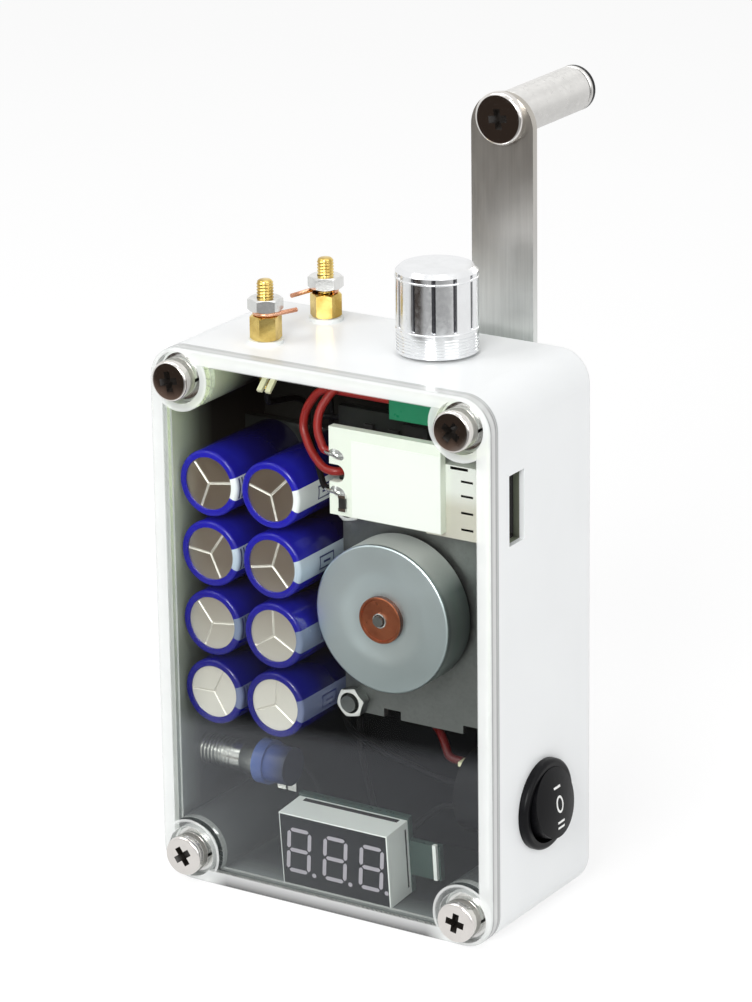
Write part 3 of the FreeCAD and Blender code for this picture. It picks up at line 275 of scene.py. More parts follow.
def tube(route, radius):
    """Round bar along a route of points."""
    steps = 16
    points, rings = [], []
    side = (Vector(route[1]) - Vector(route[0])).orthogonal().normalized()
    for p, ahead in headings(route):
        side = (side - ahead * side.dot(ahead)).normalized()
        other = ahead.cross(side)
        rings.append(list(range(len(points), len(points) + steps)))
        for k in range(steps):
            a = 2 * math.pi * k / steps
            points.append(p + (side * math.cos(a) + other * math.sin(a)) * radius)
    return points, skin(rings) + [tuple(reversed(rings[0])), tuple(rings[-1])]


def strip(route, width, thick):
    """Flat strip along a route in a plane of constant X."""
    points = []
    across = Vector((width / 2, 0, 0))
    for p, ahead in headings(route):
        up = ahead.cross(Vector((1, 0, 0))).normalized() * thick / 2
        points += [p - across - up, p + across - up, p + across + up, p - across + up]
    rings = [list(range(4 * i, 4 * i + 4)) for i in range(len(route))]
    return points, [tuple(reversed(rings[0])), tuple(rings[-1])] + skin(rings)


def ray_directions(turn):
    """Along and across a bar that lies in the XZ plane, turned from +X towards +Z."""
    a = math.radians(turn)
    return Vector((math.cos(a), 0, math.sin(a))), Vector((-math.sin(a), 0, math.cos(a)))


def cross_cutter(centre, width, depth, turn):
    """Phillips recess that opens to -Y: two tapered bars."""
    forms = []
    for extra in (0, 90):
        along, across = ray_directions(turn + extra)
        points = []
        for h, length, thick in ((-0.6, width / 2, width * 0.16), (depth, width * 0.2, width * 0.10)):
            for s, t in ((-1, -1), (1, -1), (1, 1), (-1, 1)):
                points.append(centre + Vector((0, h, 0)) + along * s * length + across * t * thick)
        forms.append((points, prism_faces(4)))
    return forms


def three_ray_cutter(centre, reach, turn):
    """Three grooves that meet in the middle of a face that looks to -Y, wider at the face."""
    outline = []
    for k in range(3):
        along, across = ray_directions(turn + 120 * k)
        between, _ = ray_directions(turn + 120 * k + 60)
        outline += [(along * reach, -across), (along * reach, across), (Vector(), between * 2 / math.sqrt(3))]
    points = []
    for depth, half in ((-0.3, 0.55), (0.16, 0.07)):
        points += [centre + Vector((0, depth, 0)) + end + side * half for end, side in outline]
    return points, prism_faces(len(outline))


# ---- material graphs
class Graph:
    """A node tree and short ways to add to it."""

    def __init__(self, tree):
        self.tree = tree

    def node(self, kind, **values):
        made = self.tree.nodes.new(kind)
        for key, value in values.items():
            setattr(made, key, value)
        return made

    def feed(self, socket, value):
        if hasattr(value, "is_output"):
            self.tree.links.new(value, socket)
        else:
            socket.default_value = value

    def math(self, operation, a, b=0.0):
        made = self.node("ShaderNodeMath", operation=operation)
        for socket, value in zip(made.inputs, (a, b)):
            self.feed(socket, value)
        return made.outputs[0]

    def times(self, a, b):
        return self.math("MULTIPLY", a, b)

    def minus(self, a, b):
        return self.math("SUBTRACT", a, b)

    def above(self, a, b):
        return self.math("GREATER_THAN", a, b)

    def below(self, a, b):
        return self.math("LESS_THAN", a, b)

    def length(self, a, b):
        return self.math("SQRT", self.math("ADD", self.times(a, a), self.times(b, b)))

    def span(self, value, low, high, to_low=0.0, to_high=1.0):
        """Maps low..high, in the value's own units, to to_low..to_high, and holds it there."""
        made = self.node("ShaderNodeMapRange")
        for key, number in (("From Min", low), ("From Max", high), ("To Min", to_low), ("To Max", to_high)):
            made.inputs[key].default_value = number
        self.feed(made.inputs["Value"], value)
        return made.outputs["Result"]

    def blend(self, fac, first, second):
        """Mix of two shaders."""
        made = self.node("ShaderNodeMixShader")
        for socket, value in zip(made.inputs, (fac, first, second)):
            self.feed(socket, value)
        return made.outputs[0]


class Shader(Graph):
    """A Principled material and the nodes that feed it."""

    def __init__(self, name, **values):
        self.name = name
        self.material = bpy.data.materials.new(name)
        self.material.use_nodes = True
        super().__init__(self.material.node_tree)
        self.bsdf = self.tree.nodes["Principled BSDF"]
        self.coords = self.node("ShaderNodeTexCoord").outputs["Object"]
        for key, value in values.items():
            self.put(key.replace("_", " "), value)

    def put(self, name, value):
        """Sets or feeds an input of the Principled shader."""
        self.feed(self.bsdf.inputs[name], value)

    def fed(self, name):
        """What feeds an input of the Principled shader."""
        return self.bsdf.inputs[name].links[0].from_socket

    def surface(self, value):
        self.feed(self.tree.nodes["Material Output"].inputs["Surface"], value)

    def axis(self, name):
        made = self.node("ShaderNodeSeparateXYZ")
        self.feed(made.inputs[0], self.coords)
        return made.outputs[name]

    def noise(self, scale, detail=3.0, rough=0.55, stretch=(1, 1, 1)):
        """Noise between 0 and 1. scale is features per metre."""
        mapping = self.node("ShaderNodeMapping")
        mapping.inputs["Scale"].default_value = stretch
        self.feed(mapping.inputs["Vector"], self.coords)
        made = self.node("ShaderNodeTexNoise")
        made.inputs["Scale"].default_value = scale
        made.inputs["Detail"].default_value = detail
        made.inputs["Roughness"].default_value = rough
        self.feed(made.inputs["Vector"], mapping.outputs[0])
        return made.outputs["Fac"]

    def mottle(self, scale, detail, low, high, **how):
        """Noise spread between low and high."""
        return self.span(self.noise(scale, detail, **how), 0.3, 0.7, low, high)

    def ramp(self, value, stops):
        """Colour ramp; stops are (place, colour or grey)."""
        made = self.node("ShaderNodeValToRGB")
        elements = made.color_ramp.elements
        while len(elements) < len(stops):
            elements.new(0.5)
        for element, (place, colour) in zip(elements, stops):
            element.position = place
            element.color = (*colour, 1) if isinstance(colour, tuple) else (colour, colour, colour, 1)
        self.feed(made.inputs["Fac"], value)
        return made.outputs["Color"]

    def along(self, name, node, stops):
        """Colour ramp along an axis, over the box of a CAD node."""
        low, high = (corner["XYZ".index(name)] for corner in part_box(node))
        return self.ramp(self.span(self.axis(name), low, high), stops)

    def mix(self, fac, a, b, kind="MIX"):
        made = self.node("ShaderNodeMix", data_type="RGBA", blend_type=kind)
        self.feed(made.inputs["Factor"], fac)
        for socket, value in ((made.inputs["A"], a), (made.inputs["B"], b)):
            self.feed(socket, (*value, 1) if isinstance(value, tuple) else value)
        return made.outputs["Result"]

    def shaded(self, shade, tone):
        """Base colour from a shade and a grey tone that varies it."""
        self.put("Base Color", self.mix(1.0, shade, tone, "MULTIPLY"))

    def bump(self, height, distance_mm, strength=1.0):
        """Relief, added to any that is there."""
        made = self.node("ShaderNodeBump")
        made.inputs["Strength"].default_value = strength
        made.inputs["Distance"].default_value = distance_mm * MM
        self.feed(made.inputs["Height"], height)
        if self.bsdf.inputs["Normal"].is_linked:
            self.feed(made.inputs["Normal"], self.fed("Normal"))
        self.put("Normal", made.outputs["Normal"])

    def distance_from(self, x, z):
        """Distance, seen from the front, from a point given in mm."""
        return self.length(self.minus(self.axis("X"), x * MM), self.minus(self.axis("Z"), z * MM))

    def rim_distance(self):
        """Distance outwards from the outline of the box seen from the front; less than 0 within it."""
        low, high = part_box("box_body")
        corner = 6.0 * MM
        sides = []
        for name, middle_at, half in (("X", 0.0, high.x), ("Z", (low.z + high.z) / 2, (high.z - low.z) / 2)):
            off = self.math("ABSOLUTE", self.minus(self.axis(name), middle_at))
            sides.append(self.minus(off, half - corner))
        far = self.length(*(self.math("MAXIMUM", side, 0.0) for side in sides))
        near = self.math("MINIMUM", self.math("MAXIMUM", *sides), 0.0)
        return self.minus(self.math("ADD", far, near), corner)


# ---- materials
def plastic(name, colour, rough=0.4, grain=0.01, vary=0.06, specular=0.5):
    """Moulded plastic: fine spark-eroded grain, and slow changes of tone if it has a colour here."""
    s = Shader(name, Specular_IOR_Level=specular)
    if colour:
        dark = tuple(c * (1 - vary) for c in colour)
        s.put("Base Color", s.ramp(s.noise(60, 2), [(0.3, dark), (0.7, colour)]))
    s.put("Roughness", s.mottle(900, 3, rough * 0.88, rough * 1.1))
    s.bump(s.noise(3500, 2), grain)
    return s


def metal(name, colour, rough=0.25, vary=0.12, grain=0.004, tarnish=None):
    """Metal with fine relief, patchy roughness and a little tarnish."""
    s = Shader(name, Metallic=1.0)
    dark = tarnish or tuple(c * (1 - vary) for c in colour)
    s.put("Base Color", s.ramp(s.noise(250, 4), [(0.35, dark), (0.6, colour)]))
    s.put("Roughness", s.mottle(1400, 4, rough * 0.75, rough * 1.3))
    s.bump(s.noise(2600, 3), grain)
    return s


LID_SCREWS = [tuple(middle(*solid).xz) for solid in solids_of("lid_screws")]
MID_Z = 50.0        # between the upper and the lower lid screws


def make_white_shell():
    """White ABS outside; inside, painted shade darkens the inner faces towards the back, and more so low
    down, with painted light near the front of the upper ones and painted shade about the lower screw bosses.
    """
    s = plastic("white_shell", (0.86, 0.875, 0.88), rough=0.38, grain=0.003, vary=0.02)
    low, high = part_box("box_body")
    y = s.axis("Y")
    inside = s.times(s.below(s.rim_distance(), -1.0 * MM), s.below(y, high.y - 1.0 * MM))
    depth = s.span(y, low.y, low.y + 13 * MM)
    # Painted light near the lid and painted shade deeper in on the upper inner faces; darker painted shade on
    # the lower ones.
    upper = s.ramp(depth, [(0.0, (0.74, 0.80, 0.60)), (0.30, (0.50, 0.56, 0.40)), (0.70, (0.12, 0.13, 0.10)),
                           (1.0, (0.022, 0.021, 0.019))])
    lower = s.ramp(depth, [(0.0, (0.20, 0.22, 0.22)), (0.25, (0.11, 0.12, 0.12)),
                           (0.55, (0.028, 0.030, 0.032)), (1.0, (0.005, 0.005, 0.006))])
    painted_wall_shade = s.mix(s.span(s.axis("Z"), 24 * MM, 76 * MM), lower, upper)
    # Painted shade about the lower screw bosses.
    for at_x, at_z in LID_SCREWS:
        if at_z < MID_Z:
            boss = s.span(s.distance_from(at_x, at_z), 7.8 * MM, 6.2 * MM, 0.0, 0.85)
            painted_wall_shade = s.mix(boss, painted_wall_shade, (0.035, 0.038, 0.040))
    s.put("Specular IOR Level", s.span(inside, 0.0, 1.0, 0.5, 0.05))
    seam = s.span(y, low.y + 0.30 * MM, low.y + 0.05 * MM)
    outside = s.mix(seam, s.fed("Base Color"), (0.42, 0.44, 0.44))
    s.put("Base Color", s.mix(inside, outside, painted_wall_shade))
    return s


def colour_lid_rim(s, rim):
    """Pale rim of the lid, banded with painted light and shade on its side wall for its refracted edges, and
    with a painted contact shadow at its foot.
    """
    y, z = s.axis("Y"), s.axis("Z")
    (_, front, _), (_, _, top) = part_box("clear_lid")
    seam, foot_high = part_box("box_body")[0].y, 2.9 * MM
    pale = s.ramp(s.noise(120, 2), [(0.3, (0.76, 0.78, 0.77)), (0.7, (0.80, 0.815, 0.805))])
    # Painted light and shade, banded along the side wall for its refracted edges.
    painted_refraction_bands = s.ramp(s.span(y, front, seam), [(0.0, 0.86), (0.20, 0.40), (0.34, 0.74), (0.62, 0.80),
                                            (0.80, 0.36), (0.92, 0.72), (1.0, 0.30)])
    painted_refraction_bands = s.mix(s.span(z, top - 3 * MM, top - 1 * MM, 0.0, 0.65), painted_refraction_bands, pale)
    on_side = s.times(s.above(rim, -0.35 * MM), s.above(y, front + 0.4 * MM))
    # Painted contact shadow along the foot, between the lower bosses.
    foot = s.ramp(s.span(z, 0.0, foot_high), [(0.0, 0.05), (0.16, 0.16), (0.42, 0.36), (0.85, 0.62)])
    between_bosses = s.span(s.math("ABSOLUTE", s.axis("X")), 25 * MM, 21 * MM)
    at_foot = s.times(between_bosses, s.below(z, foot_high))
    s.put("Base Color", s.mix(at_foot, s.mix(on_side, pale, painted_refraction_bands), foot))


def lid_mirror(s):
    """Weak mirror of the lid, strong enough low down to lay a grey veil there."""
    mirror = s.node("ShaderNodeBsdfGlossy")
    mirror.inputs["Roughness"].default_value = 0.015
    level = s.minus(s.axis("Z"), s.times(s.axis("X"), 0.07))
    veil = s.ramp(s.span(level, 0.0, 100 * MM), [(0.0, (0.56, 0.58, 0.60)), (0.312, (0.56, 0.57, 0.62)),
                                                 (0.345, 0.06), (0.48, 0.12), (1.0, 0.5)])
    s.feed(mirror.inputs["Color"], veil)
    wave = s.node("ShaderNodeBump")
    wave.inputs["Distance"].default_value = 0.004 * MM
    s.feed(wave.inputs["Height"], s.noise(60, 1))
    s.feed(mirror.inputs["Normal"], wave.outputs[0])
    return mirror.outputs[0]


def make_clear():
    """Clear lid: see-through with a mirror veil low down, milky where its side wall lies on the box."""
    s = Shader("clear_window", Roughness=0.25)
    rim = s.rim_distance()
    colour_lid_rim(s, rim)
    milky = s.span(rim, -2.7 * MM, -2.45 * MM, 0.0, 0.74)
    for at_x, at_z in LID_SCREWS:
        fill = 0.48 if at_z > MID_Z else 0.12
        boss = s.ramp(s.span(s.distance_from(at_x, at_z), 4.0 * MM, 6.4 * MM),
                      [(0.0, 0.30), (0.28, 0.55), (0.36, fill), (0.62, fill + 0.04), (0.74, 0.60),
                       (0.86, 0.60), (0.90, 0.0)])
        milky = s.math("MAXIMUM", milky, boss)

    clear = s.node("ShaderNodeBsdfTransparent")
    clear.inputs["Color"].default_value = (0.985, 0.995, 0.985, 1)
    fresnel = s.node("ShaderNodeFresnel")
    fresnel.inputs["IOR"].default_value = 1.5
    sheet = s.blend(s.times(fresnel.outputs[0], 0.5), clear.outputs[0], lid_mirror(s))
    whole = s.blend(milky, sheet, s.bsdf.outputs[0])
    shadow = s.node("ShaderNodeLightPath").outputs["Is Shadow Ray"]
    s.surface(s.blend(shadow, whole, clear.outputs[0]))
    return s


def make_arm_steel():
    """Strip steel, rolled lengthways: fine long lines, with painted light partway up and painted shade
    towards the handle.
    """
    s = Shader("arm_steel", Metallic=1.0)
    s.put("Roughness", s.mottle(500, 3, 0.33, 0.36, stretch=(2, 2, 0.3)))
    # Painted light partway up the arm and painted shade towards the handle.
    shade = s.along("Z", "crank_arm", [(0.0, (0.62, 0.65, 0.64)), (0.58, (0.78, 0.80, 0.78)),
                                       (0.74, (0.56, 0.55, 0.53)), (1.0, (0.50, 0.47, 0.42))])
    s.shaded(shade, s.span(s.noise(420, 4, 0.6, (5, 5, 0.15)), 0.35, 0.65, 0.90, 1.0))
    return s


def make_cap_tops():
    """Can ends: metal with painted reflections, brownish at the top of the bank and pale and less of a mirror
    at its foot.
    """
    s = Shader("cap_tops")
    s.bump(s.noise(2600, 3), 0.0003)
    s.put("Roughness", s.mottle(300, 2, 0.28, 0.32))
    # Painted reflections: pale low in the bank and brownish high up; the metallic share grows with height.
    s.put("Base Color", s.along("Z", "cap_cans", [(0.0, (0.86, 0.83, 0.77)), (0.35, (0.80, 0.76, 0.69)),
                                                  (0.65, (0.70, 0.62, 0.54)), (1.0, (0.62, 0.51, 0.40))]))
    low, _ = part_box("cap_cans")
    s.put("Metallic", s.span(s.axis("Z"), low.z + 5 * MM, low.z + 30 * MM, 0.45, 1.0))
    return s


def make_blue_sleeve():
    """Shrunk sleeve: painted light at the front lip, painted shade along the can and low in the bank."""
    s = plastic("blue_sleeve", None, rough=0.16, grain=0.001)
    low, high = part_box("cap_sleeves")
    # Painted light at the front lip and painted shade back along the can; the height factor adds painted
    # shade low in the bank.
    shade = s.along("Y", "cap_sleeves", [(0.0, (0.016, 0.014, 0.50)), (0.14, (0.020, 0.022, 0.52)),
                                         (0.35, (0.010, 0.009, 0.22)), (0.7, (0.003, 0.003, 0.05)),
                                         (1.0, (0.002, 0.002, 0.025))])
    height = s.span(s.axis("Z"), low.z + 12 * MM, high.z - 12 * MM, 0.42, 0.9)
    s.shaded(shade, s.times(s.mottle(140, 3, 0.80, 1.0), height))
    return s


def shaded_plastic(name, axis, node, stops, **how):
    """Plastic with a faint mottle, shaded along an axis over the box of a CAD node."""
    s = plastic(name, None, **how)
    s.shaded(s.along(axis, node, stops), s.mottle(160, 2, 0.92, 1.0))
    return s


def make_sleeve_stripe():
    """Printed stripe, with painted light on the upper cans and painted shade lower down."""
    stops = [(0.15, (0.17, 0.20, 0.34)), (0.40, (0.20, 0.25, 0.37)), (0.62, (0.52, 0.62, 0.74)),
             (0.85, (0.95, 0.99, 1.0))]
    return shaded_plastic("sleeve_stripe", "Z", "cap_sleeves", stops, rough=0.25, grain=0.003)


def make_blue_body():
    """Input socket's moulded body, in deeper shade towards its far end."""
    stops = [(0.0, (0.06, 0.11, 0.32)), (0.5, (0.035, 0.060, 0.20)), (1.0, (0.012, 0.016, 0.035))]
    return shaded_plastic("blue_body", "X", "jack_body", stops, rough=0.35)


def make_motor_steel():
    """Plated can, satin, with painted light on the upper left of its face, in its dish and along the top of
    its side, and painted shade down its side.
    """
    s = Shader("motor_steel")
    s.bump(s.noise(2600, 3), 0.0002)
    s.put("Roughness", s.mottle(200, 2, 0.41, 0.44))
    low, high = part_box("motor_can")
    centre = middle(low, high)
    across, up = s.minus(s.axis("X"), centre.x), s.minus(s.axis("Z"), centre.z)
    # Painted shade down the side, with a painted highlight by the rim.
    shade = s.along("Y", "motor_can", [(0.0, (0.46, 0.53, 0.545)), (0.18, (0.60, 0.67, 0.66)),
                                       (0.45, (0.42, 0.49, 0.48)), (1.0, (0.12, 0.15, 0.145))])
    dish = s.ramp(s.span(s.length(across, up), 4.6 * MM, 9.0 * MM),
                  [(0.0, 0.0), (0.15, 1.0), (0.6, 0.8), (1.0, 0.0)])
    lower_right = s.minus(s.times(across, 0.6), s.times(up, 0.8))
    lit_dish = s.times(dish, s.span(lower_right, -1 * MM, 6 * MM, 0.0, 0.6))
    shade = s.mix(lit_dish, shade, (0.80, 0.86, 0.86))

    on_side = s.above(s.axis("Y"), low.y + 0.45 * MM)
    upper_left = s.minus(s.times(up, 0.85), s.times(across, 0.35))
    lit_face = s.times(s.minus(1.0, on_side), s.span(upper_left, -10 * MM, 3 * MM, 0.2, 1.0))
    shade = s.mix(lit_face, shade, (0.82, 0.92, 0.96))
    lit_side = s.times(on_side, s.span(up, 6.0 * MM, 12.0 * MM))
    shade = s.mix(lit_side, shade, (0.93, 0.97, 0.94))
    # The painted light on the side is not metallic.
    s.put("Metallic", s.minus(1.0, lit_side))
    s.shaded(shade, s.mottle(160, 2, 0.97, 1.0))
    return s


def make_turned(name, colour, rough, ring_mm, node, axis, flutes=None):
    """Bright turned metal: fine rings about the piece's own axis.

    flutes is how far above the piece's foot and below its top the flutes end, which are given painted shade.
    """
    s = metal(name, colour, rough=rough, vary=0.05, grain=0.0008)
    s.put("Tangent", s.node("ShaderNodeTangent", direction_type="RADIAL", axis=axis).outputs[0])
    s.put("Anisotropic", 0.8)
    s.put("Anisotropic Rotation", 0.25)
    low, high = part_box(node)
    centre = middle(low, high)
    radius = s.length(*(s.minus(s.axis(a), centre["XYZ".index(a)]) for a in "XYZ" if a != axis))
    s.bump(s.math("SINE", s.times(radius, 2 * math.pi / (ring_mm * MM))), 0.0012, 0.5)
    if flutes:
        full, height, (above_foot, below_top) = high.x - centre.x, s.axis(axis), flutes
        band = s.times(s.above(height, low.z + above_foot * MM), s.below(height, high.z - below_top * MM))
        # Painted shade in the flutes.
        sunk = s.times(band, s.span(radius, full - 0.08 * MM, full - 0.3 * MM))
        s.put("Base Color", s.mix(sunk, s.fed("Base Color"), (0.10, 0.10, 0.11)))
    return s


def make_red_insulation():
    """Red sleeve of the wires, in shade low in the box."""
    s = plastic("red_insulation", None, rough=0.35, grain=0.004)
    height = s.span(s.axis("Z"), 20 * MM, 60 * MM)
    shade = s.ramp(height, [(0.0, (0.05, 0.003, 0.004)), (1.0, (0.30, 0.012, 0.010))])
    s.shaded(shade, s.mottle(200, 2, 0.85, 1.0))
    return s


def make_usb_tin():
    """Tin-plated sheet, dull and warm, bright where the label throws light on it."""
    s = plastic("usb_tin", (0.80, 0.77, 0.68), rough=0.38, grain=0.002, vary=0.10)
    low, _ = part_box("usb_shell")
    lit = s.span(s.axis("Z"), low.z + 5.5 * MM, low.z + 8.5 * MM)
    s.put("Base Color", s.mix(lit, s.fed("Base Color"), (0.97, 0.98, 0.95)))
    s.put("Metallic", 0.35)
    return s


PLASTICS = {
    "black_insulation": dict(colour=(0.006, 0.006, 0.007), rough=0.5, grain=0.004, specular=0.1),
    "black_plastic": dict(colour=(0.004, 0.004, 0.005), rough=0.34, vary=0.3, specular=0.14),
    "dark_board": dict(colour=(0.015, 0.018, 0.016), grain=0.002, vary=0.3),
    "dark_parts": dict(colour=(0.02, 0.02, 0.02)),
    "green_board": dict(colour=(0.015, 0.20, 0.10), rough=0.3, grain=0.002, vary=0.3),
    "grey_rubber": dict(colour=(0.62, 0.63, 0.62), rough=0.6),
    "lug_tin": dict(colour=(0.78, 0.76, 0.52), rough=0.3, grain=0.002, vary=0.1),
    "meter_bars": dict(colour=(0.40, 0.37, 0.42), grain=0.001, vary=0.08),
    "meter_case": dict(colour=(0.80, 0.83, 0.81), rough=0.42, grain=0.002, vary=0.03),
    "meter_filter": dict(colour=(0.005, 0.005, 0.007), rough=0.3, grain=0.001, specular=0.06),
    "meter_green": dict(colour=(0.030, 0.060, 0.050), rough=0.3, grain=0.001, vary=0.25),
    # nut_face: painted light for the front face of the gearbox nuts.
    "nut_face": dict(colour=(0.80, 0.80, 0.78), rough=0.3, grain=0.002, vary=0.25),
    # recess: painted shade inside screw crosses, slits and slots.
    "recess": dict(colour=(0.018, 0.015, 0.013), rough=0.25, grain=0.001, vary=0.3),
    "rocker_marks": dict(colour=(0.86, 0.86, 0.84), grain=0.001, vary=0.03),
    "stripe_ink": dict(colour=(0.02, 0.03, 0.16), rough=0.3, grain=0.001, vary=0.1),
    "usb_laminate": dict(colour=(0.84, 0.88, 0.80), rough=0.35, grain=0.002, vary=0.04),
    "white_board": dict(colour=(0.90, 0.91, 0.88), rough=0.35, grain=0.002, vary=0.02),
}
METALS = {
    "bare_tin": dict(colour=(0.78, 0.78, 0.76), rough=0.2, vary=0.2),
    "brass": dict(colour=(0.80, 0.60, 0.20), rough=0.12, tarnish=(0.46, 0.30, 0.07)),
    "bright_zinc": dict(colour=(0.78, 0.78, 0.76), rough=0.2, vary=0.15),
    "bronze_bush": dict(colour=(0.55, 0.18, 0.09), rough=0.34, tarnish=(0.40, 0.12, 0.06)),
    # bush_side: painted shade on the side of the motor bush.
    "bush_side": dict(colour=(0.10, 0.040, 0.028), rough=0.4, vary=0.2),
    "copper": dict(colour=(0.80, 0.45, 0.30), rough=0.28, tarnish=(0.55, 0.25, 0.15)),
    "dark_zinc": dict(colour=(0.76, 0.73, 0.70), rough=0.07, vary=0.06, grain=0.001),
    "plate_steel": dict(colour=(0.23, 0.24, 0.235), rough=0.45, vary=0.06, grain=0.001),
    "pot_case": dict(colour=(0.60, 0.61, 0.62), rough=0.3),
    "rotor_iron": dict(colour=(0.25, 0.22, 0.20), rough=0.5),
    # score_line: painted highlight in the score lines of the can ends.
    "score_line": dict(colour=(0.95, 0.92, 0.86), rough=0.5, vary=0.05, grain=0.001),
    "solder": dict(colour=(0.72, 0.72, 0.72), rough=0.16, vary=0.2),
}
M = {name: plastic(name, **look).material for name, look in PLASTICS.items()}
M |= {name: metal(name, **look).material for name, look in METALS.items()}
M |= {s.name: s.material for s in (
    make_white_shell(), make_clear(), make_arm_steel(), make_motor_steel(), make_blue_sleeve(),
    make_sleeve_stripe(), make_cap_tops(), make_blue_body(), make_red_insulation(), make_usb_tin(),
    make_turned("turned_aluminium", (0.86, 0.87, 0.88), 0.16, 0.16, "knob", "Z", flutes=(4.65, 0.85)),
    make_turned("satin_aluminium", (0.70, 0.69, 0.67), 0.34, 0.2, "crank_handle", "Y"),
)}

OWN_LOOK = {"cap_board": "dark_board", "main_board": "dark_board", "meter_board": "meter_green",
            "gearbox_screws": "plate_steel", "motor_shaft": "plate_steel", "switch_terminals": "lug_tin",
            "usb_tongue": "dark_parts", "usb_board": "usb_laminate"}
for entry in frame["record"]["subparts"]:
    node_mesh = nodes[entry["node"]].data
    node_mesh.materials.clear()
    node_mesh.materials.append(M[OWN_LOOK.get(entry["node"], entry["material_slot"])])


# ---- screws with a cross
def cross_screw(name, body, ends, head_r, head_t, shank_r, rim, crown, cross):
    """Screw along Y with a rounded head. ends are its box; cross is the recess's width, depth and turn."""
    low, high = ends
    c = middle(low, high)
    top, under, edge = low.y, low.y + head_t, head_r - rim
    profile = [(0, top), (edge, top + crown)] + arc(edge, top + crown + rim, rim, -90, 0)[1:]
    profile += [(head_r, under), (shank_r, under), (shank_r, high.y), (0, high.y)]
    screw = piece(name, *turned(profile, c, "y"), M["dark_zinc"], body)
    # Painted shade inside the cross recess.
    carve(screw, cross_cutter(Vector((c.x, top, c.z)), *cross), inside=M["recess"])
    return screw


def make_lid_screws():
    cross_turns = (35, 12, 80, 55)
    for i, (ends, turn) in enumerate(zip(solids_of("lid_screws"), cross_turns)):
        screw = cross_screw(f"lid_screw_{i + 1}", "case", ends, head_r=3.65, head_t=2.8, shank_r=1.5,
                            rim=0.45, crown=0, cross=(4.3, 1.7, turn))
        stands_for(screw, "lid_screws")


# ---- binding posts
POST_R = 1.5


def make_posts():
    for i, (low, high) in enumerate(solids_of("post_studs")):
        form = threaded(middle(low, high), low.z, high.z, POST_R, pitch=0.55, depth=0.2)
        stands_for(piece(f"post_stud_{i + 1}", *form, M["brass"], sharp=60), "post_studs")
    make_post_hexagons("post_standoff", "post_standoffs", 4.9, (40, 25), "brass")
    make_post_hexagons("post_nut", "post_nuts", 5.5, (36, 36, 30, 30), "bright_zinc")


def make_post_hexagons(name, node, across_flats, turns, look):
    """A hexagon for each solid of a node. Of solids in one column, the lowest comes first."""
    upwards = sorted(solids_of(node), key=lambda c: (round(c[0].x), c[0].z))
    for i, ((low, high), turn) in enumerate(zip(upwards, turns)):
        form = hex_nut(middle(low, high), "z", low.z, high.z, across_flats, POST_R, turn)
        stands_for(piece(f"{name}_{i + 1}", *form, M[look], sharp=25), node)


# ---- capacitors
SCORE_TURNS = (62, 128, 55, 129, 84, 92, 72, 44)    # from the lowest can up, left column first
SLEEVE_T = 0.35
SLEEVE_LIP = 0.95
STRIPE_SPAN = (-24, 20)                             # degrees from +X towards +Z


def printed_bar(c, r, angles, ys):
    """Patch of print on a sleeve between two angles, in degrees from +X towards +Z, and two depths."""
    turns = [math.radians(angles[0] + (angles[1] - angles[0]) * k / 4) for k in range(5)]
    points = [(c.x + r * math.cos(a), y, c.z + r * math.sin(a)) for a in turns for y in ys]
    return points, [(2 * k, 2 * k + 1, 2 * k + 3, 2 * k + 2) for k in range(4)]


def make_stripe_print(name, c, r, front, with_bars):
    """A minus sign in a frame, twice down the stripe, and short bars near the lip."""
    line, length, forms = 0.3, 4.6, []
    turn = math.degrees(line / r)
    left, right = -15, 9
    for y in (front + 6.2, front + 14.2):
        forms += [printed_bar(c, r, (left, left + turn), (y, y + length)),
                  printed_bar(c, r, (right - turn, right), (y, y + length)),
                  printed_bar(c, r, (left, right), (y, y + line)),
                  printed_bar(c, r, (left, right), (y + length - line, y + length)),
                  printed_bar(c, r, (-5, -1), (y + 1.2, y + length - 1.2))]
    if with_bars:
        forms += [printed_bar(c, r, (-20, 16), (front + d, front + d + 0.4)) for d in (0.9, 1.8, 2.7, 3.6)]
    piece(name, *joined(forms), M["stripe_ink"])


def can_sizes(low, high):
    """From a sleeve's box: middle, radii of sleeve, can and opening, and Y of the can's front."""
    r = (high.x - low.x) / 2
    return middle(low, high), r, r - SLEEVE_T, r - SLEEVE_T - SLEEVE_LIP, low.y + SLEEVE_T


def make_can(name, low, high, turn):
    """Can with three score lines in its end."""
    c, _, can_r, opening, top = can_sizes(low, high)
    profile = [(0, top), (opening - 0.5, top), (can_r, top), (can_r, high.y), (0, high.y)]
    can = piece(name, *turned(profile, c, "y"), M["cap_tops"])
    # Painted highlight in the score lines.
    carve(can, [three_ray_cutter(Vector((c.x, top, c.z)), opening - 0.15, turn)], 20, M["score_line"])
    stands_for(can, "cap_cans")


def make_sleeve(name, low, high):
    """Sleeve folded over the can's rim, with a printed stripe down its right side."""
    c, r, can_r, opening, top = can_sizes(low, high)
    fold, chamfer = 0.6, 0.12
    profile = [(opening, top), (opening, low.y + chamfer), (opening + chamfer, low.y), (r - fold, low.y)]
    profile += arc(r - fold, low.y + fold, fold, -90, 0)[1:]
    profile += [(r, high.y), (can_r, high.y), (can_r, top), (opening, top)]
    points, faces = turned(profile, c, "y")
    stripe = []
    for face in faces:
        p = sum((points[k] for k in face), Vector()) / len(face)
        angle = math.degrees(math.atan2(p.z - c.z, p.x - c.x))
        stripe.append(1 if STRIPE_SPAN[0] < angle < STRIPE_SPAN[1] else 0)
    sleeve = piece(name, points, faces, [M["blue_sleeve"], M["sleeve_stripe"]], face_materials=stripe)
    stands_for(sleeve, "cap_sleeves")


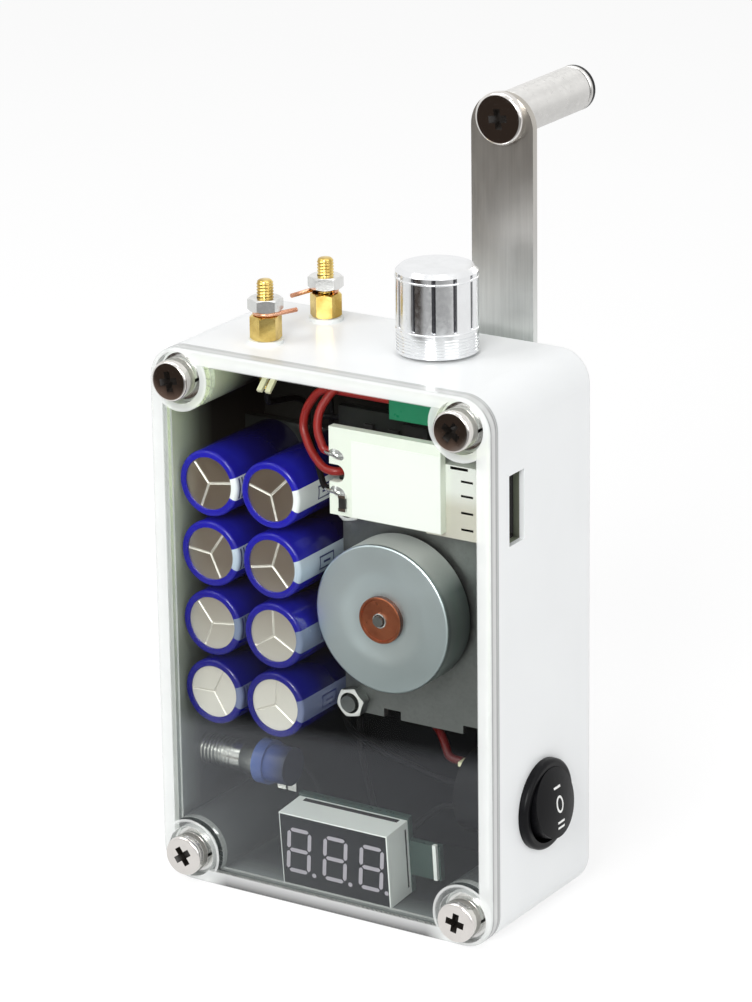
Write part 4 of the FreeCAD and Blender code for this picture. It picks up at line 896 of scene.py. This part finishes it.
def make_capacitors():
    sleeves = solids_of("cap_sleeves")
    for i, (low, high) in enumerate(sleeves):
        make_can(f"cap_can_{i + 1}", low, high, SCORE_TURNS[i])
        make_sleeve(f"cap_sleeve_{i + 1}", low, high)
        proud_r = (high.x - low.x) / 2 + 0.02
        in_left_column = i < len(sleeves) / 2
        make_stripe_print(f"cap_print_{i + 1}", middle(low, high), proud_r, low.y, in_left_column)


# ---- motor
def make_motor_can():
    """Drawn can with a rolled rim and a shallow dish."""
    low, high = box_mm("motor_can")
    r, front = (high.x - low.x) / 2, low.y
    wall, hole, roll, sunk = 0.9, 3.2, 0.45, 0.34
    dish_r, dish_width, dish_steps = 5.0, 4.2, 12
    profile = [(hole, front + wall), (hole, front + sunk), (dish_r, front + sunk)]
    for k in range(1, dish_steps + 1):
        rise = 0.5 + 0.5 * math.cos(math.pi * k / dish_steps)
        profile.append((dish_r + dish_width * k / dish_steps, front + sunk * rise))
    profile += arc(r - roll, front + roll, roll, -90, 0, 12)
    profile += [(r, high.y), (r - wall, high.y), (r - wall, front + wall), (hole, front + wall)]
    can = piece("motor_can_shell", *turned(profile, middle(low, high), "y", 160), M["motor_steel"], sharp=50)
    stands_for(can, "motor_can")


def make_motor_bush():
    """Bronze bush with a raised rim and painted shade on its side, and a bright collar about the shaft."""
    low, high = box_mm("motor_bush")
    c = middle(*box_mm("motor_can"))
    top, under, r, bore = low.y, high.y, (high.x - low.x) / 2, 1.05
    profile = [(bore, under), (bore, top + 0.25), (r - 0.6, top + 0.25), (r - 0.45, top), (r - 0.15, top),
               (r, top + 0.15), (r, under), (bore, under)]
    points, faces = turned(profile, c, "y")
    side_ring = 5
    # Painted shade on the side of the bush.
    side_painted_shade = [1 if k // TURN_STEPS == side_ring else 0 for k in range(len(faces))]
    looks = [M["bronze_bush"], M["bush_side"]]
    bush = piece("motor_bush_rimmed", points, faces, looks, face_materials=side_painted_shade)
    stands_for(bush, "motor_bush")
    profile = [(1.08, top + 0.25), (1.08, top + 0.05), (1.15, top - 0.1), (1.35, top - 0.05),
               (1.45, top + 0.25), (1.08, top + 0.25)]
    piece("motor_collar", *turned(profile, c, "y", 48), M["bright_zinc"])


def make_gearbox_nuts():
    """Nuts with painted light on their front face, and painted shade on their sides and in their bore."""
    for i, (low, high) in enumerate(solids_of("gearbox_nuts")):
        points, faces = hex_nut(middle(low, high), "y", low.y, high.y, across_flats=5.0, bore=1.95, turn=12)
        # Painted light on the front face and its chamfer; painted shade on the sides, back and bore.
        dark = [0 if k % 6 < 2 else 1 for k in range(len(faces))]
        nut = piece(f"gearbox_nut_{i + 1}", points, faces, [M["nut_face"], M["plate_steel"]], sharp=25,
                    face_materials=dark)
        stands_for(nut, "gearbox_nuts")


# ---- crank and knob
def make_crank():
    """Broken edges on the arm, the handle's screw, and its end cap, black at its end as painted shade."""
    bevel = nodes["crank_arm"].modifiers.new("edges", "BEVEL")
    bevel.width = 0.25 * MM
    bevel.segments = 3
    bevel.limit_method = "ANGLE"
    bevel.angle_limit = math.radians(40)

    screw = cross_screw("handle_screw_pan", "crank", box_mm("handle_screw"), head_r=4.7, head_t=1.5,
                        shank_r=2.0, rim=0.55, crown=0.08, cross=(4.6, 1.2, 8))
    stands_for(screw, "handle_screw")

    low, high = box_mm("handle_cap")
    r, edge, dark = (high.x - low.x) / 2, 0.2, 0.95
    profile = [(0, low.y), (r - edge, low.y), (r, low.y + edge), (r, high.y - dark)]
    profile += arc(r - edge, high.y - edge, edge, 0, 90) + [(0, high.y)]
    points, faces = turned(profile, middle(low, high), "y")
    # Painted shade: black end of the cap.
    end = [1 if min(points[k].y for k in face) > high.y - dark - 0.01 else 0 for face in faces]
    looks = [M["satin_aluminium"], M["black_plastic"]]
    cap = piece("handle_end", points, faces, looks, "crank", face_materials=end)
    stands_for(cap, "handle_cap")


def make_knob_beads():
    """Two raised lines round the knob, above and below its flutes."""
    low, high = box_mm("knob")
    r, bead, sunk, back = (high.x - low.x) / 2, 0.2, 0.08, 0.5
    for i, z in enumerate((high.z - 1.75, low.z + 4.25)):
        profile = arc(r - sunk, z, bead, -90, 90, 10)
        profile += [(r - back, z + bead), (r - back, z - bead), (r - sunk, z - bead)]
        form = turned(profile, middle(low, high), "z")
        piece(f"knob_bead_{i + 1}", *form, M["turned_aluminium"], "knob")


# ---- rocker marks
def on_rocker(y, z):
    """The rocker's face at (y, z), in mm, a little proud."""
    proud, outside, no_hit_x = 0.03, 60, 37.0
    hit, place, _, _ = nodes["switch_rocker"].ray_cast(Vector((outside, y, z)) * MM, Vector((-1, 0, 0)))
    return Vector(((place.x / MM if hit else no_hit_x) + proud, y, z))


def ribbon(route, width, closed=False):
    """Flat printed line over the rocker's face; route holds (y, z)."""
    route = [Vector(p) for p in route]
    n = len(route)
    points, faces = [], []
    for i, p in enumerate(route):
        before = route[(i - 1) % n] if closed else route[max(i - 1, 0)]
        after = route[(i + 1) % n] if closed else route[min(i + 1, n - 1)]
        along = (after - before).normalized()
        across = Vector((-along.y, along.x)) * width / 2
        points += [on_rocker(*(p - across)), on_rocker(*(p + across))]
    for i in range(n if closed else n - 1):
        a, b = 2 * i, 2 * ((i + 1) % n)
        faces.append((a, a + 1, b + 1, b))
    return points, faces


def make_rocker_marks():
    """I, O and II printed on the rocker."""
    middle_y, middle_z = 0.35, middle(*box_mm("switch_case")).z
    bar, line, oval_y, oval_z, oval_up = 2.2, 0.42, 0.95, 1.35, 0.35
    forms = []
    for up in (3.4, -2.85, -3.85):
        forms.append(ribbon([(middle_y - bar / 2 + bar * k / 6, middle_z + up) for k in range(7)], line))
    turns = [2 * math.pi * k / 40 for k in range(40)]
    oval = [(middle_y + oval_y * math.cos(a), middle_z + oval_up + oval_z * math.sin(a)) for a in turns]
    forms.append(ribbon(oval, line, closed=True))
    piece("rocker_marks", *joined(forms), M["rocker_marks"], "rocker")


# ---- USB socket and board
def make_usb_shell():
    """Five slits in the shell's front, and its cavity, with painted shade inside them."""
    low, high = box_mm("usb_shell")
    shell = copy_of("usb_shell", "usb_shell_slit", "case")
    stands_for(shell, "usb_shell")
    shell.data.materials[0] = M["usb_tin"]
    slits = [(4.9, 8.4, 0.45, 0.5)] + [(7.0, 9.4, down, 0.4) for down in (2.6, 5.2, 8.2, 11.2)]
    cutters = []
    for start, end, down, t in slits:
        z = high.z - down
        cutters.append(block((low.x + start, low.y - 0.2, z - t / 2), (low.x + end, low.y + 0.5, z + t / 2)))
    sheet = 0.26
    cutters.append(block(low + Vector((sheet, sheet, sheet)), high + Vector((1, -sheet, -sheet))))
    # Painted shade inside the slits and the cavity.
    carve(shell, cutters, inside=M["recess"])


def make_usb_joint(name, x, z, face, edge):
    """Oval solder joint with a bare wire end that comes over the board's edge."""
    dome = [(r, face - h) for r, h in ((0, 0.75), (0.5, 0.68), (0.9, 0.4), (1.35, 0.1), (1.5, 0), (0, 0))]
    points, faces = turned(dome, (0, 0, 0), "y", 40)
    flatter, lean, wire_r = 0.62, 0.2, 0.34
    points = [Vector((x + p.x, p.y, z + p.z * flatter - p.x * lean)) for p in points]
    route = [(edge - 0.9, face + 0.3, z + 0.1), (edge - 0.2, face - 0.2, z + 0.1), (x - 0.3, face - 0.35, z)]
    form = joined([(points, faces), tube(route, wire_r)])
    piece(name, *form, M["solder"], sharp=50)


def make_usb_board_details():
    """Solder joints, a white label and a small resistor on the board."""
    low, high = box_mm("usb_board")
    face, edge = low.y, low.x
    for i, (along, up) in enumerate(((1.5, 10.9), (1.7, 4.2))):
        make_usb_joint(f"usb_joint_{i + 1}", edge + along, low.z + up, face, edge)
    label = block((edge + 4.6, face - 0.1, low.z + 0.1), (high.x - 0.05, face, high.z - 2.0))
    piece("usb_label", *label, M["white_board"])
    x, z = edge + 2.8, low.z + 2.4
    body = block((x - 0.65, face - 0.55, z - 1.0), (x + 0.65, face, z + 1.0))
    piece("usb_resistor", *body, M["dark_parts"])
    ends = joined([block((x - 0.72, face - 0.6, z + s * 1.2 - 0.28), (x + 0.72, face, z + s * 1.2 + 0.28))
                   for s in (-1, 1)])
    piece("usb_resistor_ends", *ends, M["solder"])


# ---- solder lugs
def make_lugs():
    """Forked solder lugs under the binding posts, bent down and forward."""
    top, t = box_mm("post_lugs")[1].z, 0.6
    ring_r, strip_x = 3.0, 4.2
    ring = [(POST_R, top - t), (ring_r, top - t), (ring_r, top), (POST_R, top), (POST_R, top - t)]
    root = ((1.2, t / 2), (3.4, t / 2), (4.4, 1.5))     # forward of the post, and down
    tine = ((4.2, 1.2), (5.6, 2.6), (7.4, 4.2))
    for i, stud in enumerate(solids_of("post_studs")):
        c = middle(*stud)
        forms = [turned(ring, c, "z", 48)]
        for off, width, path in ((0, 2.8, root), (-0.85, 1.0, tine), (0.85, 1.0, tine)):
            route = [(c.x + strip_x + off, c.y - ahead, top - down) for ahead, down in path]
            forms.append(strip(route, width, t))
        lug = piece(f"post_lug_{i + 1}", *joined(forms), M["lug_tin"])
        stands_for(lug, "post_lugs")


# ---- meter
METER_EDGE = (-14.35, 2.25)     # y and z of the meter's lower front edge, about which it tips
METER_TIP = 5.0
METER_DEPTH = 6.9
METER_HEIGHT = 14.2
FILTER_RIM = (0.1, 0.25)        # the housing's rim about the filter: left and below, right and above
DIGIT_PITCH = 7.6
DIGIT_HALF = (2.15, 4.1)        # half width and half height between the bars' middles
DIGIT_FACE = (0.05, 0.2)        # from a little proud of the filter into it
BAR_HALF = 0.37
BAR_GAP = 0.24


def in_meter(form):
    """Tips a form, whose points are (x, behind the front edge, above the lower edge), with the meter."""
    points, faces = form
    tip = Matrix.Rotation(math.radians(METER_TIP), 3, "X")
    return [tip @ Vector((0, p[1], p[2])) + Vector((p[0], *METER_EDGE)) for p in points], faces


def digit_bar(cx, middle_at, half, upright):
    """Six-sided bar, pointed at both ends and leaning with its digit."""
    lean = math.tan(math.radians(6))
    side = half - BAR_HALF
    outline = [(-half, 0), (-side, -BAR_HALF), (side, -BAR_HALF),
               (half, 0), (side, BAR_HALF), (-side, BAR_HALF)]
    if upright:
        outline = [(-b, a) for a, b in outline]
    flat = [(middle_at[0] + a, middle_at[1] + b) for a, b in outline]
    points = [(cx + a + b * lean, y, METER_HEIGHT / 2 + b) for y in DIGIT_FACE for a, b in flat]
    return points, prism_faces(6)


def digit(x):
    """Seven bars and a dot."""
    half_w, half_h = DIGIT_HALF
    near, far = DIGIT_FACE
    bars = [digit_bar(x, (0, dz), half_w - BAR_GAP, False) for dz in (-half_h, 0, half_h)]
    bars += [digit_bar(x, (dx, dz), half_h / 2 - BAR_GAP, True)
             for dx in (-half_w, half_w) for dz in (-half_h / 2, half_h / 2)]
    dot, dot_r = (x + half_w + 0.75, 0, METER_HEIGHT / 2 - half_h - 0.2), 0.42
    return bars + [turned([(0, near), (dot_r, near), (dot_r, far), (0, far)], dot, "y", 24)]


def make_meter():
    """Filter plate with three digits, slots beside the board with painted shade inside, and a bare pin on the
    board's ear.
    """
    low, high = box_mm("meter_housing")
    cx, (rim, wide_rim) = middle(low, high).x, FILTER_RIM
    x0, x1, z1 = low.x + rim, high.x - wide_rim, METER_HEIGHT - wide_rim
    face = piece("meter_filter", *in_meter(block((x0, 0.1, rim), (x1, 0.45, z1))), M["meter_filter"])
    stands_for(face, "meter_face")
    bars = [bar for x in (cx - DIGIT_PITCH, cx, cx + DIGIT_PITCH) for bar in digit(x)]
    digits = piece("meter_digits", *in_meter(joined(bars)), M["meter_bars"])
    stands_for(digits, "meter_segments")

    shell = block((low.x, 0, 0), (high.x, METER_DEPTH, METER_HEIGHT))
    housing = piece("meter_housing_slots", *in_meter(shell), M["meter_case"])
    stands_for(housing, "meter_housing")
    carve(housing, [in_meter(block((x0, -0.5, rim), (x1, 0.5, z1)))])
    top = block((low.x + 1.5, METER_DEPTH - 1.45, METER_HEIGHT - 0.9),
                (high.x - 1.3, METER_DEPTH - 0.35, METER_HEIGHT + 0.5))
    side = block((high.x - 0.9, METER_DEPTH - 1.1, 1.3),
                 (high.x + 0.5, METER_DEPTH - 0.6, METER_HEIGHT - 1.4))
    # Painted shade inside the slots.
    carve(housing, [in_meter(top), in_meter(side)], inside=M["recess"])

    _, ear = box_mm("meter_board")
    pin = block((ear.x - 1.1, METER_DEPTH - 0.7, 3.9), (ear.x - 0.4, METER_DEPTH, 10.8))
    piece("meter_pin", *in_meter(pin), M["meter_case"])


make_lid_screws()
make_posts()
make_capacitors()
make_motor_can()
make_motor_bush()
make_gearbox_nuts()
make_crank()
make_rocker_marks()
make_usb_shell()
make_usb_board_details()
make_lugs()
make_meter()
make_knob_beads()


# ---- floor, light and camera
def make_floor():
    size, z = 4000, -0.05
    corners = [(-size, -size, z), (size, -size, z), (size, size, z), (-size, size, z)]
    piece("floor", corners, [(0, 1, 2, 3)], floor_look().material, body=None)


def mirrored_floor(s):
    """What mirrors see of the floor, painted reflections: bright near the object and dim beyond, apart from a
    pale left side.
    """
    near = s.span(s.axis("Y"), -0.30, -0.075)
    left = s.ramp(near, [(0.16, (0.035, 0.025, 0.020)), (0.44, (0.15, 0.105, 0.085)),
                         (0.60, (0.20, 0.15, 0.125)), (0.755, (0.42, 0.35, 0.30)),
                         (0.89, (0.80, 0.78, 0.74)), (0.955, (0.95, 0.96, 0.96))])
    right = s.ramp(near, [(0.0, 0.36), (0.8, 0.45), (1.0, 0.95)])
    aside = s.minus(s.axis("X"), s.times(s.axis("Y"), 0.8))
    # Painted reflection: a pale patch to the left.
    painted_reflection_patch = s.mix(s.span(aside, -0.04, -0.09), left, (0.85, 0.86, 0.86))
    glow = s.node("ShaderNodeEmission")
    s.feed(glow.inputs["Color"], s.mix(s.span(s.axis("X"), -0.09, -0.02), painted_reflection_patch, right))
    return glow.outputs[0]


def floor_look():
    """Pale floor, with a look of its own for mirrors."""
    s = Shader("floor", Roughness=0.9, Specular_IOR_Level=0.0)
    s.put("Base Color", s.ramp(s.noise(8, 2), [(0.3, 0.93), (0.7, 0.95)]))
    glow = s.node("ShaderNodeEmission")
    glow.inputs["Color"].default_value = (1, 1, 1, 1)
    glow.inputs["Strength"].default_value = 1.08
    shown = s.blend(0.70, s.bsdf.outputs[0], glow.outputs[0])
    path = s.node("ShaderNodeLightPath").outputs
    unseen = s.blend(path["Is Glossy Ray"], s.bsdf.outputs[0], mirrored_floor(s))
    seen = s.math("MAXIMUM", path["Is Camera Ray"], path["Is Transmission Ray"])
    s.surface(s.blend(seen, unseen, shown))
    return s


def make_world():
    """White to the camera and in mirrors, and weaker as light."""
    world = bpy.data.worlds.new("world")
    bpy.context.scene.world = world
    world.use_nodes = True
    g = Graph(world.node_tree)
    path = g.node("ShaderNodeLightPath").outputs
    mirrored = g.math("MAXIMUM", path["Is Glossy Ray"], path["Is Transmission Ray"])
    seen = g.math("MAXIMUM", path["Is Camera Ray"], mirrored)
    background = g.tree.nodes["Background"].inputs
    background["Color"].default_value = (1, 1, 1, 1)
    g.feed(background["Strength"], g.span(seen, 0.0, 1.0, 0.40, 1.0))


LAMPS = {                       # place in metres, size in metres, watts
    "front": ((0.25, -1.1, 0.6), 0.5, 10),
    "left": ((-0.6, -0.7, 1.0), 0.7, 5),
    "right": ((1.0, -0.3, 0.6), 0.8, 3),
    "top": ((0.0, 0.2, 1.3), 0.9, 2.5),
}
LAMP_AIM = Vector((0, 0, 0.05))


def make_lamps():
    for name, (where, size, watts) in LAMPS.items():
        data = bpy.data.lights.new(name, "AREA")
        data.size = size
        data.energy = watts
        obj = added(name, data)
        obj.location = where
        obj.rotation_mode = "QUATERNION"
        obj.rotation_quaternion = (LAMP_AIM - Vector(where)).to_track_quat("-Z", "Y")


def make_camera():
    """The photograph's viewpoint, found from the box's edges."""
    yaw, pitch, roll = math.radians(32.635), math.radians(18.827), math.radians(-0.832)
    focal_px, centre_px, frame_px = 4420.8, (371.0, 503.8), (752, 1002)
    place = Vector((394.85, -616.73, 320.96)) * MM
    ahead = Vector((-math.sin(yaw) * math.cos(pitch), math.cos(yaw) * math.cos(pitch), -math.sin(pitch)))
    right = ahead.cross(Vector((0, 0, 1))).normalized()
    up = right.cross(ahead)
    c, s = math.cos(roll), math.sin(roll)
    right, up = c * right + s * up, c * up - s * right
    data = bpy.data.cameras.new("camera")
    data.sensor_width = 36
    data.lens = focal_px * data.sensor_width / max(frame_px)
    data.shift_x = (frame_px[0] / 2 - centre_px[0]) / max(frame_px)
    data.shift_y = (centre_px[1] - frame_px[1] / 2) / max(frame_px)
    data.clip_start, data.clip_end = 0.01, 50
    camera = added("camera", data)
    camera.matrix_world = Matrix.Translation(place) @ Matrix((right, up, -ahead)).transposed().to_4x4()
    bpy.context.scene.camera = camera


make_floor()
make_world()
make_lamps()
make_camera()
bpy.context.scene.view_settings.view_transform = "Standard"
